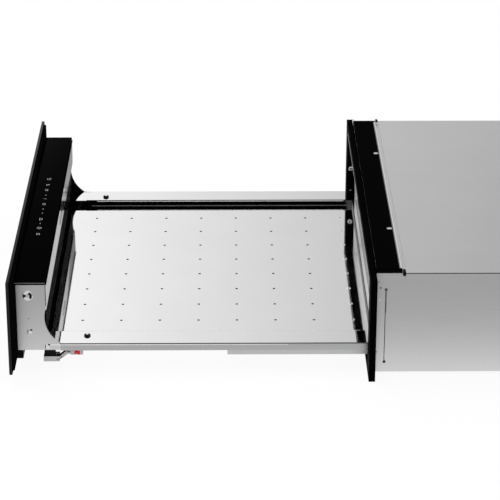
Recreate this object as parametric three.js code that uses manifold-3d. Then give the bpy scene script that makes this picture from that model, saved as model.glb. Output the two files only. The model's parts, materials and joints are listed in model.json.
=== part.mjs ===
// Built-in warming drawer: a black glass front on a touch control box, a perforated tray on
// telescopic runners, and a sheet steel cabinet with a fan heater behind the cavity.
// Millimetres, +Z up, +Y towards the back of the cabinet, +X towards the right-hand side of a
// user who faces the front. The origin is the centre of the cabinet's underside.
// The drawer stands open, at the end of its travel.

import * as THREE from 'three';
import { mergeVertices } from 'three/addons/utils/BufferGeometryUtils.js';
import Module from 'manifold-3d';

const wasm = await Module();
wasm.setup();

// ---------------------------------------------------------------- driving dimensions

// play between pieces that rest on each other
const seat = 0.3;

// cabinet
const bodyWidth = 556;
const bodyHeight = 139.5;
const bodyDepth = 540;
const bodySheet = 1.2;
const flangeHeight = 12;
const coverHem = 8;
const coverHemStart = 4;
const coverSetDown = 0.3;

// slot with round ends near the front edge of each cabinet side
const sideSlotFromFrame = 12.5;
const sideSlotWidth = 1.6;
const sideSlotEndRadius = 2;
const sideSlotBottom = 14;
const sideSlotFromTop = 24;

// front frame, a band of black metal that covers the gap round the cabinet
const frameOverlap = 19.5;
const frameDrop = 5;
const frameBelowCover = 4.5;
const frameThickness = 8;
const frameCollar = 4;
const framePad = 0.3;
const jambInset = 12.5;
const openingBottom = 4;
const openingBelowCover = 16;
const jambScrewHeight = 68.5;

// pan-head screws of the frame and the trim plate
const screwHeadRadius = 3.6;
const screwHeadHeight = 2.3;
const screwShankRadius = 1.6;

// black trim plate on top of the cover
const trimInset = 8.5;
const trimDepth = 33;
const trimSheet = 1.2;
const trimLip = 0.8;
const trimLipWidth = 2.4;
const trimScrewSpacing = 278;
const trimScrewFromRear = 7.4;
const trimClipLength = 3.4;
const trimClipDrop = 4;
const trimClipSheet = 1;

// cavity
const linerSheet = 0.8;
const linerClearance = 1;
const plenumDepth = 62;
const insulationFromLiner = 12;

// drawer front
const panelShort = 0.5;
const panelBelowFrame = 1.3;
const panelBottom = 5.4;
const panelGap = 3.5;
const glassThickness = 4;
const backingThickness = 2.4;
const backingInset = 4;
const mountPlateSheet = 1.6;
const railDepth = 8.4;
const railDrop = 12;

// control box
const boxClearance = 3.1;
const boxDepth = 38;
const boxBottom = 24.4;
const boxSheet = 1.5;
const controlGlassThickness = 4.2;
const rearStripHeight = 36;
const keySlotHeight = 11;
const keySlotWidth = 2;
const keySlotX = -4;
const louvreRecess = 4;
const louvrePitch = 6;
const louvreReach = 2.4;
const louvreDrop = 3.4;
const louvreMargin = 12;
const louvreBandHeight = 7;
const serviceHoleRadius = 13;

// side plates of the control box: a round bite in the rear edge above a foot beside the tray
const biteRadius = 43.5;
const biteHeight = 70;
const biteDepth = 2.7;
const footToe = 0.6;
const footAboveTray = 1.2;
const adjusterRadius = 6;
const adjusterShankRadius = 3.7;
const adjusterHeadHeight = 1.6;
const adjusterFromTop = 19.1;
const adjusterFromFront = 15;

// touch control
const keyCount = 7;
const keyPitch = 30;
const keyRadius = 5;
const boardThickness = 1.6;
const touchBoardWidth = 210;
const powerBoardWidth = 150;
const powerBoardFromSide = 52.4;
const powerBoardHeadroom = 20;
const transformerHeight = 42;
const transformerWidth = 50;
const transformerX = 115;

// tray
const trayTop = 33.5;
const traySheet = 1;
const trayRecess = 8;
const traySkirt = 10;
const trayStrip = 38;
const trayUnderBox = 5;
const trayToPartition = 11.8;
const rearFlange = 19;
const rearUpstand = 26;
const holeRadius = 1.5;
const holeRowPitch = 50.2;
const holeColumnPitch = 51;
const holeFromSide = 40;
const holeFromBox = 20;
const lastHoleFromStep = 20.5;
const trayScrewFromEdge = 23.1;
const trayScrewFromBox = 49.9;
const trayScrewHead = 4.2;
const trayScrewHeadHeight = 2.6;
const trayScrewShank = 2;

// telescopic runners
const runnerHeld = 25;
const runnerInset = 25.4;
const runnerWidth = 20;
const runnerSheet = 1.5;
const runnerPlay = 0.4;
const runnerSidePlay = 1;
const runnerFromFoot = 4;
const runnerFromRear = 3;
const middleRunnerBottom = 8.4;
const middleRunnerPast = 13;
const cabinetRunnerStart = 2;
const cabinetRunnerFoot = 15;

// locking clips under the tray's front corners, with their release levers
const clipWidth = 14.4;
const clipLength = 20.5;
const clipBottom = 8;
const clipHeight = 7;
const clipToFoot = 1;
const clipPostInset = 1;
const leverWidth = 8;
const leverPinRadius = 1.5;
const leverPlay = 0.3;
const leverRise = 6.6;
const leverBarHeight = 5.9;
const leverArmLength = 11;
const leverLinkLength = 5;
const leverTabLength = 7;
const leverBlockLength = 9;

// push latch
const latchLength = 46;
const latchWidth = 24;
const latchHeight = 14;
const plungerRadius = 4;
const plungerReach = 9;
const plungerStroke = 5;
const strikerFromRear = 55;
const strikerWidth = 28;
const strikerSheet = 2;

// fan heater
const heaterAir = 13.35;
const heaterTube = 3.2;
const heaterGapAngle = 50;
const heaterFlangeHeight = 14;
const impellerAir = 8.8;
const impellerDepth = 20;
const impellerBlades = 12;
const impellerHubRadius = 9;
const bladeAngle = 28;
const shaftRadius = 2.5;
const shaftPlay = 0.15;
const motorRadius = 24;
const motorLength = 17;
const motorLug = 12;
const impellerToMotor = 4;
const inletOverlap = 6;
const guardWire = 2;
const guardRingWidth = 2.5;
const guardRingPitch = 8;

// slots for the warm air at the foot of the partition
const outletLength = 40;
const outletHeight = 3.4;
const outletColumnPitch = 50;
const outletRowPitch = 8;
const outletRows = 2;
const outletFromMiddle = 90;
const outletBottom = 14;

// slots for the motor's air in the back panel
const ventLength = 60;
const ventHeight = 3.4;
const ventPitch = 9;
const ventRows = 5;
const ventSpread = 184;

// sensors and supply
const probeRadius = 2;
const probeX = 70;
const probeFromTop = 38;
const probeReach = 14;
const thermostatX = -70;
const thermostatRadius = 8;
const glandRadius = 9;
const glandBore = 4;
const glandFromSide = 73;
const glandHeight = 34;
const terminalLength = 42;
const terminalFromGland = 50;
const terminalPoles = 3;

// ---------------------------------------------------------------- places worked out from them

const bodyFront = -bodyDepth / 2;
const bodyBack = bodyDepth / 2;
const bodyHalf = bodyWidth / 2;
const innerHalf = bodyHalf - bodySheet - seat;
const coverUnderside = bodyHeight - bodySheet;
const coverHalf = bodyHalf + seat + bodySheet;
const coverFront = bodyHeight - coverSetDown;
const floorSeat = bodySheet + seat;
const backInside = bodyBack - bodySheet - seat;

const framePlane = bodyFront - frameThickness;
const frameBack = bodyFront + frameCollar;
const frameHalf = bodyHalf + frameOverlap;
const frameTop = bodyHeight - frameBelowCover;
const openingHalf = bodyHalf - jambInset;
const openingTop = bodyHeight - openingBelowCover;

const trimHalf = bodyHalf - trimInset;
const trimBack = bodyFront + trimDepth;
const trimScrewX = trimScrewSpacing / 2;
const trimScrewY = trimBack - trimScrewFromRear;

const partitionFront = bodyBack - plenumDepth - bodySheet;
const partitionBack = partitionFront + bodySheet;
const linerHalf = openingHalf + linerClearance;
const ceiling = openingTop + linerClearance;

// the drawer's own places, with the drawer shut
const panelHalf = frameHalf - panelShort;
const panelTop = frameTop - panelBelowFrame;
const backingBack = framePlane - panelGap;
const backingFront = backingBack - backingThickness;
const glassBack = backingFront - seat;
const plateFront = backingBack + seat;
const plateBack = plateFront + mountPlateSheet;
const boxFront = plateBack + seat;
const boxBack = boxFront + boxDepth;
const boxHalf = openingHalf - boxClearance;
const boxInner = boxHalf - boxSheet - seat;
const boxTop = openingTop - boxClearance;
const controlGlassBottom = boxTop - controlGlassThickness;
const boxCeiling = controlGlassBottom - seat;
const stripBottom = controlGlassBottom - rearStripHeight;
const louvreBack = boxBack - louvreRecess;
const footTop = trayTop + footAboveTray;
const biteCentre = boxBack - biteDepth + biteRadius;
const biteLowAngle = Math.PI + Math.asin((biteHeight - footTop) / biteRadius);
const biteHighAngle = Math.PI - Math.acos((biteRadius - biteDepth) / biteRadius);
const footBack = biteCentre + biteRadius * Math.cos(biteLowAngle) + footToe;

const trayFront = boxBack - trayUnderBox;
const trayBack = partitionFront - trayToPartition;
const stepBack = trayBack - rearFlange;
const trayFloor = trayTop - trayRecess;
const trayUnderside = trayTop - traySheet;
const recessHalf = boxHalf - trayStrip;
const drawerTravel = trayBack - framePlane - runnerHeld;

const runnerCentre = boxHalf - runnerInset;
const runnerTop = trayUnderside - seat;
const runnerBottom = trayTop - traySkirt + seat;
const drawerRunnerFront = footBack + runnerFromFoot;
const drawerRunnerBack = trayBack - runnerFromRear;
const middleRunnerFront = drawerRunnerFront - middleRunnerPast;
const cabinetRunnerFront = boxBack + cabinetRunnerStart;
const cabinetRunnerBack = partitionFront - trayToPartition;

const fanHeight = (bodySheet + coverUnderside) / 2;
const heaterRadius = (coverUnderside - bodySheet) / 2 - heaterTube - heaterAir;
const impellerRadius = heaterRadius - heaterTube - impellerAir;
const inletRadius = impellerRadius - inletOverlap;
const motorFront = backInside - motorLength;
const impellerBack = motorFront - impellerToMotor;
const impellerFront = impellerBack - impellerDepth;
const heaterPlane = (impellerFront + impellerBack) / 2;
const probeHeight = coverUnderside - probeFromTop;
const glandX = bodyHalf - glandFromSide;

const strikerBack = trayBack - strikerFromRear + strikerSheet;
const latchFront = strikerBack + seat + plungerReach;
const latchBack = latchFront + latchLength;
const latchMiddle = floorSeat + latchHeight / 2;

const clipBack = footBack - clipToFoot;
const clipOuter = boxHalf - seat;
const clipInner = clipOuter - clipWidth;
const leverMiddle = (clipInner + clipOuter) / 2;
const leverPivotY = clipBack - leverPinRadius - 2 * leverPlay;
const leverPivotZ = clipBottom + clipHeight / 2;

// ---------------------------------------------------------------- materials

const finishes = {
  blackGlass: { color: 0x050506, roughness: 0.06, metalness: 0.0 },
  blackPaint: { color: 0x0a0a0b, roughness: 0.35, metalness: 0.2 },
  blackPlastic: { color: 0x101011, roughness: 0.5, metalness: 0.0 },
  brushedSteel: { color: 0xb4b4b6, roughness: 0.35, metalness: 1.0 },
  polishedSteel: { color: 0xd4d4d6, roughness: 0.08, metalness: 1.0 },
  zincSteel: { color: 0xa9abad, roughness: 0.4, metalness: 1.0 },
  darkSteel: { color: 0x3c3c3e, roughness: 0.45, metalness: 0.7 },
  greyPlastic: { color: 0x9a9b9d, roughness: 0.5, metalness: 0.0 },
  mineralWool: { color: 0xd8d0b4, roughness: 0.95, metalness: 0.0 },
  circuitBoard: { color: 0x1f5a34, roughness: 0.6, metalness: 0.0 },
  castAlloy: { color: 0x8f9194, roughness: 0.5, metalness: 0.9 },
};

const warmingDrawer = new THREE.Group();
const cabinet = new THREE.Group();
const drawer = new THREE.Group();
const middleRunners = new THREE.Group();
drawer.position.y = -drawerTravel;
middleRunners.position.y = -drawerTravel / 2;
warmingDrawer.add(cabinet, drawer, middleRunners);

function place(group, name, geometry, finish) {
  const mesh = new THREE.Mesh(geometry, new THREE.MeshStandardMaterial(finishes[finish]));
  mesh.name = name;
  group.add(mesh);
}

// ---------------------------------------------------------------- solids

// how far a cutting tool runs past the face it cuts
const over = 1;

const sides = [
  { side: 'left', sign: -1 },
  { side: 'right', sign: 1 },
];

// a block between two corners
function block(x0, x1, y0, y1, z0, z1) {
  const geometry = new THREE.BoxGeometry(x1 - x0, y1 - y0, z1 - z0);
  return geometry.translate((x0 + x1) / 2, (y0 + y1) / 2, (z0 + z1) / 2);
}

// the same, as wide to the left of the middle plane as to the right
function wideBlock(half, y0, y1, z0, z1) {
  return block(-half, half, y0, y1, z0, z1);
}

// a block on one side of the middle plane, given by its distances from that plane
function sideBlock(sign, inner, outer, y0, y1, z0, z1) {
  return block(Math.min(sign * inner, sign * outer), Math.max(sign * inner, sign * outer), y0, y1, z0, z1);
}

function outline(points) {
  return new THREE.Shape(points.map(([u, v]) => new THREE.Vector2(u, v)));
}

// an outline in X and Z carried along Y
function alongY(shape, y0, y1) {
  const geometry = new THREE.ExtrudeGeometry(shape, { depth: y1 - y0, bevelEnabled: false });
  return geometry.rotateX(Math.PI / 2).translate(0, y1, 0);
}

// an outline in Y and Z carried along X
function alongX(shape, x0, x1, curveSegments = 12) {
  const settings = { depth: x1 - x0, bevelEnabled: false, curveSegments };
  const geometry = new THREE.ExtrudeGeometry(shape, settings);
  const turn = new THREE.Matrix4().makeBasis(
    new THREE.Vector3(0, 1, 0),
    new THREE.Vector3(0, 0, 1),
    new THREE.Vector3(1, 0, 0),
  );
  return geometry.applyMatrix4(turn).translate(x0, 0, 0);
}

// a rod along X on one side of the middle plane, given by its distances from that plane
function sideRod(sign, radius, inner, outer, y, z, facets = 24) {
  const geometry = new THREE.CylinderGeometry(radius, radius, outer - inner, facets);
  return geometry.rotateZ(Math.PI / 2).translate(sign * (inner + outer) / 2, y, z);
}

function rodY(radius, x, y0, y1, z, facets = 24) {
  const geometry = new THREE.CylinderGeometry(radius, radius, y1 - y0, facets);
  return geometry.translate(x, (y0 + y1) / 2, z);
}

function rodZ(radius, x, y, z0, z1, facets = 24) {
  const geometry = new THREE.CylinderGeometry(radius, radius, z1 - z0, facets);
  return geometry.rotateX(Math.PI / 2).translate(x, y, (z0 + z1) / 2);
}

function toSolid(geometry) {
  const bare = geometry.clone();
  bare.deleteAttribute('normal');
  bare.deleteAttribute('uv');
  const merged = mergeVertices(bare, 1e-4);
  return new wasm.Manifold(new wasm.Mesh({
    numProp: 3,
    vertProperties: new Float32Array(merged.attributes.position.array),
    triVerts: new Uint32Array(merged.index.array),
  }));
}

function toGeometry(solid) {
  const { vertProperties, triVerts } = solid.getMesh();
  const geometry = new THREE.BufferGeometry();
  geometry.setAttribute('position', new THREE.BufferAttribute(vertProperties, 3));
  geometry.setIndex(new THREE.BufferAttribute(triVerts, 1));
  geometry.computeVertexNormals();
  return geometry;
}

function join(first, ...others) {
  return toGeometry(others.reduce((sum, other) => sum.add(toSolid(other)), toSolid(first)));
}

function cut(first, ...tools) {
  return toGeometry(tools.reduce((rest, tool) => rest.subtract(toSolid(tool)), toSolid(first)));
}

// a pan-head screw with a cross slot, its axis along +Z and the underside of its head at z = 0
function screw(headRadius, headHeight, shankRadius, shankLength) {
  const profile = [
    [0, -shankLength],
    [shankRadius, -shankLength],
    [shankRadius, 0],
    [headRadius, 0],
    [headRadius, headHeight * 0.45],
    [headRadius * 0.72, headHeight * 0.9],
    [0, headHeight],
  ].map(([r, h]) => new THREE.Vector2(r, h));
  const turned = new THREE.LatheGeometry(profile, 20).rotateX(Math.PI / 2);
  const slotHalf = headRadius * 0.11;
  const slotReach = headRadius * 0.6;
  const slotFloor = headHeight * 0.5;
  return cut(
    turned,
    block(-slotReach, slotReach, -slotHalf, slotHalf, slotFloor, headHeight + over),
    block(-slotHalf, slotHalf, -slotReach, slotReach, slotFloor, headHeight + over),
  );
}

// ---------------------------------------------------------------- cabinet shell

function makeBasePan() {
  const back = backInside;
  const plate = wideBlock(innerHalf, bodyFront + seat, back, 0, bodySheet);
  const flanges = sides.map(({ sign }) => (
    sideBlock(sign, innerHalf - bodySheet, innerHalf, frameBack + seat, back, 0, flangeHeight)
  ));
  place(cabinet, 'base_pan', join(plate, ...flanges), 'zincSteel');
}

function makeBodySides() {
  const slotY = bodyFront + sideSlotFromFrame;
  const slotTop = bodyHeight - sideSlotFromTop;
  const inner = bodyHalf - bodySheet;
  for (const { side, sign } of sides) {
    const wall = sideBlock(sign, inner, bodyHalf, bodyFront + seat, bodyBack, 0, coverUnderside - seat);
    const slot = sideBlock(
      sign, inner - over, bodyHalf + over,
      slotY - sideSlotWidth / 2, slotY + sideSlotWidth / 2, sideSlotBottom, slotTop,
    );
    const ends = [sideSlotBottom, slotTop].map((z) => (
      sideRod(sign, sideSlotEndRadius, inner - over, bodyHalf + over, slotY, z, 16)
    ));
    place(cabinet, `body_side_${side}`, cut(wall, slot, ...ends), 'brushedSteel');
  }
}

function makeTopCover() {
  const hemFront = trimBack + coverHemStart;
  const plate = wideBlock(bodyHalf, bodyFront + seat, bodyBack, coverUnderside, bodyHeight);
  const wings = sides.map(({ sign }) => (
    sideBlock(sign, bodyHalf - over, coverHalf, hemFront, bodyBack, coverUnderside, bodyHeight)
  ));
  const hems = sides.map(({ sign }) => sideBlock(
    sign, bodyHalf + seat, coverHalf, hemFront, bodyBack, bodyHeight - coverHem, bodyHeight,
  ));
  const screwHoles = sides.map(({ sign }) => rodZ(
    screwShankRadius + seat, sign * trimScrewX, trimScrewY, coverUnderside - over, bodyHeight + over,
  ));
  // the front edge is set down a little under the trim
  const setDown = wideBlock(bodyHalf + over, bodyFront - over, hemFront, coverFront, bodyHeight + over);
  place(cabinet, 'top_cover', cut(join(plate, ...wings, ...hems), setDown, ...screwHoles), 'brushedSteel');
}

function makeBackPanel() {
  const front = bodyBack - bodySheet;
  const plate = wideBlock(innerHalf, front, bodyBack, seat, coverUnderside - seat);
  const glandHole = rodY(glandThread + seat, glandX, front - over, bodyBack + over, glandHeight);
  const slots = [];
  for (let row = 0; row < ventRows; row += 1) {
    const z = fanHeight + (row - (ventRows - 1) / 2) * ventPitch;
    for (const { sign } of sides) {
      const x = (sign * ventSpread) / 2;
      slots.push(block(
        x - ventLength / 2, x + ventLength / 2,
        front - over, bodyBack + over, z - ventHeight / 2, z + ventHeight / 2,
      ));
    }
  }
  place(cabinet, 'back_panel', cut(plate, glandHole, ...slots), 'zincSteel');
}

function makeFrontFrame() {
  const face = wideBlock(frameHalf, framePlane, bodyFront, -frameDrop, frameTop);
  const collar = wideBlock(
    openingHalf + bodySheet, bodyFront - over, frameBack, openingBottom - bodySheet, openingTop + bodySheet,
  );
  const opening = wideBlock(openingHalf, framePlane - over, frameBack + over, openingBottom, openingTop);
  const screwY = (framePlane + frameBack) / 2;
  const shankLength = jambInset - bodySheet - 2 * over;
  const screwHoles = sides.map(({ sign }) => sideRod(
    sign, screwShankRadius + seat, openingHalf - over, bodyHalf - bodySheet, screwY, jambScrewHeight, 16,
  ));
  // pads that bear on the front edges of the housing, either side of the cabinet
  const pads = sides.map(({ sign }) => sideBlock(
    sign, coverHalf + 2 * seat, frameHalf, bodyFront - over, bodyFront + framePad, -frameDrop, frameTop,
  ));
  place(cabinet, 'front_frame', cut(join(face, collar, ...pads), opening, ...screwHoles), 'blackPaint');
  for (const { side, sign } of sides) {
    const jambScrew = screw(screwHeadRadius, screwHeadHeight, screwShankRadius, shankLength)
      .rotateY(-sign * Math.PI / 2)
      .translate(sign * (openingHalf - seat), screwY, jambScrewHeight);
    place(cabinet, `jamb_screw_${side}`, jambScrew, 'polishedSteel');
  }
}

function makeTopTrim() {
  const low = coverFront + seat;
  const high = low + trimSheet;
  const plate = wideBlock(trimHalf, bodyFront + seat, trimBack, low, high);
  const lip = wideBlock(trimHalf, trimBack - trimLipWidth, trimBack, low, high + trimLip);
  const holes = sides.map(({ sign }) => rodZ(
    screwShankRadius + seat, sign * trimScrewX, trimScrewY, low - over, high + over, 16,
  ));
  place(cabinet, 'top_trim', cut(join(plate, lip), ...holes), 'blackPaint');
  const clipFront = trimBack + seat;
  const clipEnd = clipFront + trimClipLength;
  const clipTop = high + trimLip;
  for (const { side, sign } of sides) {
    const trimScrew = screw(screwHeadRadius, screwHeadHeight, screwShankRadius, trimSheet + 2 * bodySheet)
      .translate(sign * trimScrewX, trimScrewY, high + seat);
    place(cabinet, `trim_screw_${side}`, trimScrew, 'polishedSteel');
    // an angle over the cover's edge, held down behind the trim plate
    const inner = trimHalf - trimInset;
    const outer = coverHalf + seat + trimClipSheet;
    const foot = sideBlock(sign, inner, outer, clipFront, clipEnd, low, clipTop);
    const lug = sideBlock(sign, outer - trimClipSheet, outer, clipFront, clipEnd, low - trimClipDrop, clipTop);
    place(cabinet, `trim_clip_${side}`, join(foot, lug), 'blackPlastic');
  }
}

// ---------------------------------------------------------------- cavity lining

function makeLining() {
  const front = frameBack + seat;
  const back = partitionFront - seat;
  const linerOuter = linerHalf + linerSheet;
  const woolFront = front + insulationFromLiner;
  for (const { side, sign } of sides) {
    const liner = sideBlock(sign, linerHalf, linerOuter, front, back, floorSeat, ceiling);
    place(cabinet, `side_liner_${side}`, liner, 'polishedSteel');
    const wool = sideBlock(
      sign, linerOuter + seat, innerHalf - bodySheet - seat, woolFront, back, floorSeat, ceiling,
    );
    place(cabinet, `side_insulation_${side}`, wool, 'mineralWool');
  }
  const linerLow = ceiling + seat;
  const linerHigh = linerLow + linerSheet;
  place(cabinet, 'ceiling_liner', wideBlock(linerOuter, front, back, linerLow, linerHigh), 'polishedSteel');
  place(cabinet, 'ceiling_insulation', wideBlock(
    linerOuter, trimBack, back, linerHigh + seat, coverUnderside - seat,
  ), 'mineralWool');
}

function makePartition() {
  const half = innerHalf - bodySheet - seat;
  const plate = wideBlock(half, partitionFront, partitionBack, floorSeat, coverUnderside - seat);
  const front = partitionFront - over;
  const back = partitionBack + over;
  const inlet = rodY(inletRadius, 0, front, back, fanHeight, 40);
  const probeHole = rodY(probeRadius + seat, probeX, front, back, probeHeight, 16);
  const outlets = [];
  const columns = Math.floor((half - outletFromMiddle) / outletColumnPitch);
  for (const { sign } of sides) {
    for (let column = 0; column < columns; column += 1) {
      for (let row = 0; row < outletRows; row += 1) {
        const inner = outletFromMiddle + column * outletColumnPitch;
        const z = outletBottom + row * outletRowPitch;
        outlets.push(sideBlock(sign, inner, inner + outletLength, front, back, z, z + outletHeight));
      }
    }
  }
  place(cabinet, 'rear_partition', cut(plate, inlet, probeHole, ...outlets), 'polishedSteel');
}

// wire guard over the air inlet: rings joined by crossed bars, with a rim on the partition
function makeFanGuard() {
  const back = partitionFront - seat;
  const front = back - guardWire;
  const ring = (radius, width) => cut(
    rodY(radius, 0, front, back, fanHeight, 36),
    rodY(radius - width, 0, front - over, back + over, fanHeight, 36),
  );
  const rim = inletRadius + 2 * guardRingWidth;
  const hub = guardRingPitch - guardWire;
  const count = Math.floor((inletRadius - hub) / guardRingPitch);
  const rings = Array.from({ length: count }, (_, index) => (
    ring(inletRadius - guardRingPitch / 2 - index * guardRingPitch, guardRingWidth)
  ));
  const bars = [0, 60, 120].map((angle) => (
    block(-rim + over, rim - over, front, back, -guardRingWidth / 2, guardRingWidth / 2)
      .rotateY(THREE.MathUtils.degToRad(angle))
      .translate(0, 0, fanHeight)
  ));
  const guard = join(
    ring(rim, 2 * guardRingWidth), rodY(hub, 0, front, back, fanHeight), ...rings, ...bars,
  );
  place(cabinet, 'fan_guard', guard, 'zincSteel');
}

// ---------------------------------------------------------------- fan heater

function makeMotor() {
  const can = rodY(motorRadius, 0, motorFront, backInside, fanHeight, 32);
  const lugReach = motorRadius + motorLug;
  const lugHalf = motorRadius / 3;
  const lug = wideBlock(lugReach, backInside - 2, backInside, fanHeight - lugHalf, fanHeight + lugHalf);
  const shaft = rodY(shaftRadius, 0, impellerFront + over, motorFront + over, fanHeight, 20);
  place(cabinet, 'fan_motor', join(can, lug, shaft), 'castAlloy');
}

function makeImpeller() {
  const discFront = impellerBack - 1.5;
  const disc = rodY(impellerRadius, 0, discFront, impellerBack, fanHeight, 40);
  const hub = rodY(impellerHubRadius, 0, impellerFront + 5, impellerBack, fanHeight, 24);
  const bladeRoot = impellerHubRadius + 7;
  const blades = [];
  for (let index = 0; index < impellerBlades; index += 1) {
    const blade = block(0, impellerRadius - bladeRoot - 1, impellerFront, discFront + 0.5, -0.6, 0.6)
      .rotateY(THREE.MathUtils.degToRad(-bladeAngle))
      .translate(bladeRoot, 0, 0)
      .rotateY((index * 2 * Math.PI) / impellerBlades)
      .translate(0, 0, fanHeight);
    blades.push(blade);
  }
  const bore = rodY(shaftRadius + shaftPlay, 0, impellerFront - over, impellerBack + over, fanHeight, 20);
  place(cabinet, 'fan_impeller', cut(join(disc, hub, ...blades), bore), 'zincSteel');
}

// one bent tube: a terminal leg, an open ring round the impeller and the second terminal leg
function makeHeater() {
  const gap = THREE.MathUtils.degToRad(heaterGapAngle / 2);
  const bend = 6;
  const flangeFront = backInside - 11;
  const legEnd = flangeFront + 3;
  const legMiddle = (legEnd + heaterPlane) / 2;
  const ringPoint = (angle, y) => new THREE.Vector3(
    heaterRadius * Math.cos(angle), y, fanHeight + heaterRadius * Math.sin(angle),
  );
  const first = -Math.PI / 2 + gap;
  const last = (3 * Math.PI) / 2 - gap;
  const points = [ringPoint(first, legEnd), ringPoint(first, legMiddle)];
  points.push(ringPoint(first, heaterPlane + bend), ringPoint(first + 0.06, heaterPlane + 1));
  const ringSteps = 22;
  for (let step = 1; step < ringSteps; step += 1) {
    points.push(ringPoint(first + ((last - first) * step) / ringSteps, heaterPlane));
  }
  points.push(ringPoint(last - 0.06, heaterPlane + 1), ringPoint(last, heaterPlane + bend));
  points.push(ringPoint(last, legMiddle), ringPoint(last, legEnd));
  const section = new THREE.Shape();
  section.absarc(0, 0, heaterTube, 0, 2 * Math.PI, false);
  const tube = new THREE.ExtrudeGeometry(section, {
    steps: 80,
    curveSegments: 5,
    extrudePath: new THREE.CatmullRomCurve3(points, false, 'centripetal'),
  });
  place(cabinet, 'heater_element', tube, 'darkSteel');

  const ends = [ringPoint(first, 0), ringPoint(last, 0)];
  const flangeHalf = ends[0].x + 10;
  const flange = wideBlock(
    flangeHalf, flangeFront, backInside,
    ends[0].z - heaterFlangeHeight / 2, ends[0].z + heaterFlangeHeight / 2,
  );
  const sockets = ends.map(({ x, z }) => (
    rodY(heaterTube + seat, x, flangeFront - over, legEnd + seat, z, 20)
  ));
  place(cabinet, 'heater_flange', cut(flange, ...sockets), 'zincSteel');
}

function makeSensors() {
  const back = partitionBack + seat;
  const cap = rodY(thermostatRadius, thermostatX, back, back + 7, probeHeight, 24);
  const tabReach = thermostatRadius + 2;
  const tabs = block(
    thermostatX - tabReach, thermostatX + tabReach, back, back + 1.5, probeHeight - 4, probeHeight + 4,
  );
  place(cabinet, 'overheat_thermostat', join(cap, tabs), 'blackPlastic');
  const rod = rodY(probeRadius, probeX, partitionFront - probeReach, back + 10, probeHeight, 14);
  const collar = rodY(probeRadius + 3, probeX, back, back + 4, probeHeight, 20);
  place(cabinet, 'temperature_probe', join(rod, collar), 'polishedSteel');
}

const glandThread = glandRadius - 2.3;

function makeSupply() {
  const outside = bodyBack + seat;
  const thread = rodY(glandThread, glandX, backInside - 8, outside + over, glandHeight, 28);
  const nut = rodY(glandRadius, glandX, backInside - 5, backInside, glandHeight, 6);
  const cap = rodY(glandRadius, glandX, outside, outside + glandRadius, glandHeight, 28);
  const bore = rodY(glandBore, glandX, backInside - 10, outside + glandRadius + over, glandHeight);
  place(cabinet, 'cable_gland', cut(join(thread, nut, cap), bore), 'blackPlastic');

  const right = glandX - terminalFromGland;
  const left = right - terminalLength;
  const body = block(left, right, backInside - 16, backInside, glandHeight - 9, glandHeight + 9);
  const polePitch = terminalLength / terminalPoles;
  const wells = Array.from({ length: terminalPoles }, (_, pole) => (
    rodY(2.6, left + (pole + 0.5) * polePitch, backInside - 17, backInside - 9, glandHeight, 14)
  ));
  place(cabinet, 'terminal_block', cut(body, ...wells), 'greyPlastic');
}

// ---------------------------------------------------------------- push latch

function makeLatch() {
  const top = floorSeat + latchHeight;
  const body = wideBlock(latchWidth / 2, latchFront, latchBack, floorSeat, top);
  const boreEnd = latchBack - 8;
  const bore = rodY(plungerRadius + seat, 0, latchFront - over, boreEnd, latchMiddle);
  place(cabinet, 'latch_body', cut(body, bore), 'greyPlastic');
  const tip = latchFront - plungerReach;
  const stem = rodY(plungerRadius, 0, tip + 2, boreEnd - plungerStroke - 2, latchMiddle);
  const nose = rodY(plungerRadius - 1, 0, tip, tip + 2.5, latchMiddle);
  place(cabinet, 'latch_plunger', join(stem, nose), 'blackPlastic');
  const striker = outline([
    [strikerBack - 18, trayFloor - traySheet - seat],
    [strikerBack - 18, trayFloor - traySheet - seat - strikerSheet],
    [strikerBack - strikerSheet, trayFloor - traySheet - seat - strikerSheet],
    [strikerBack - strikerSheet, latchMiddle - plungerRadius],
    [strikerBack, latchMiddle - plungerRadius],
    [strikerBack, trayFloor - traySheet - seat],
  ]);
  const half = strikerWidth / 2;
  place(drawer, 'latch_striker', alongX(striker, -half, half), 'zincSteel');
}

// ---------------------------------------------------------------- runners

// an upturned channel, open below
function channel(half, low, high) {
  const inner = half - runnerSheet;
  return outline([
    [-half, low], [-inner, low], [-inner, high - runnerSheet], [inner, high - runnerSheet],
    [inner, low], [half, low], [half, high], [-half, high],
  ]);
}

function makeRunners() {
  const drawerHalf = runnerWidth / 2;
  const middleHalf = drawerHalf - runnerSheet - runnerSidePlay;
  const middleTop = runnerTop - runnerSheet - runnerPlay;
  const headHalf = middleHalf - runnerSheet - runnerSidePlay;
  const headTop = middleTop - runnerSheet - runnerPlay;
  const headLow = headTop - runnerSheet;
  const webHalf = runnerSheet / 2;
  for (const { side, sign } of sides) {
    const x = sign * runnerCentre;
    const drawerRunner = channel(drawerHalf, runnerBottom, runnerTop);
    place(drawer, `drawer_runner_${side}`, alongY(
      drawerRunner, drawerRunnerFront, drawerRunnerBack,
    ).translate(x, 0, 0), 'zincSteel');
    const middleRunner = channel(middleHalf, middleRunnerBottom, middleTop);
    place(middleRunners, `middle_runner_${side}`, alongY(
      middleRunner, middleRunnerFront, drawerRunnerBack,
    ).translate(x, 0, 0), 'zincSteel');
    const cabinetRunner = outline([
      [-webHalf, floorSeat], [cabinetRunnerFoot, floorSeat],
      [cabinetRunnerFoot, floorSeat + runnerSheet], [webHalf, floorSeat + runnerSheet],
      [webHalf, headLow], [headHalf, headLow], [headHalf, headTop],
      [-headHalf, headTop], [-headHalf, headLow], [-webHalf, headLow],
    ].map(([u, v]) => [sign * u, v]));
    place(cabinet, `cabinet_runner_${side}`, alongY(
      cabinetRunner, cabinetRunnerFront, cabinetRunnerBack,
    ).translate(x, 0, 0), 'zincSteel');
  }
}

// ---------------------------------------------------------------- drawer front

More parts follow.
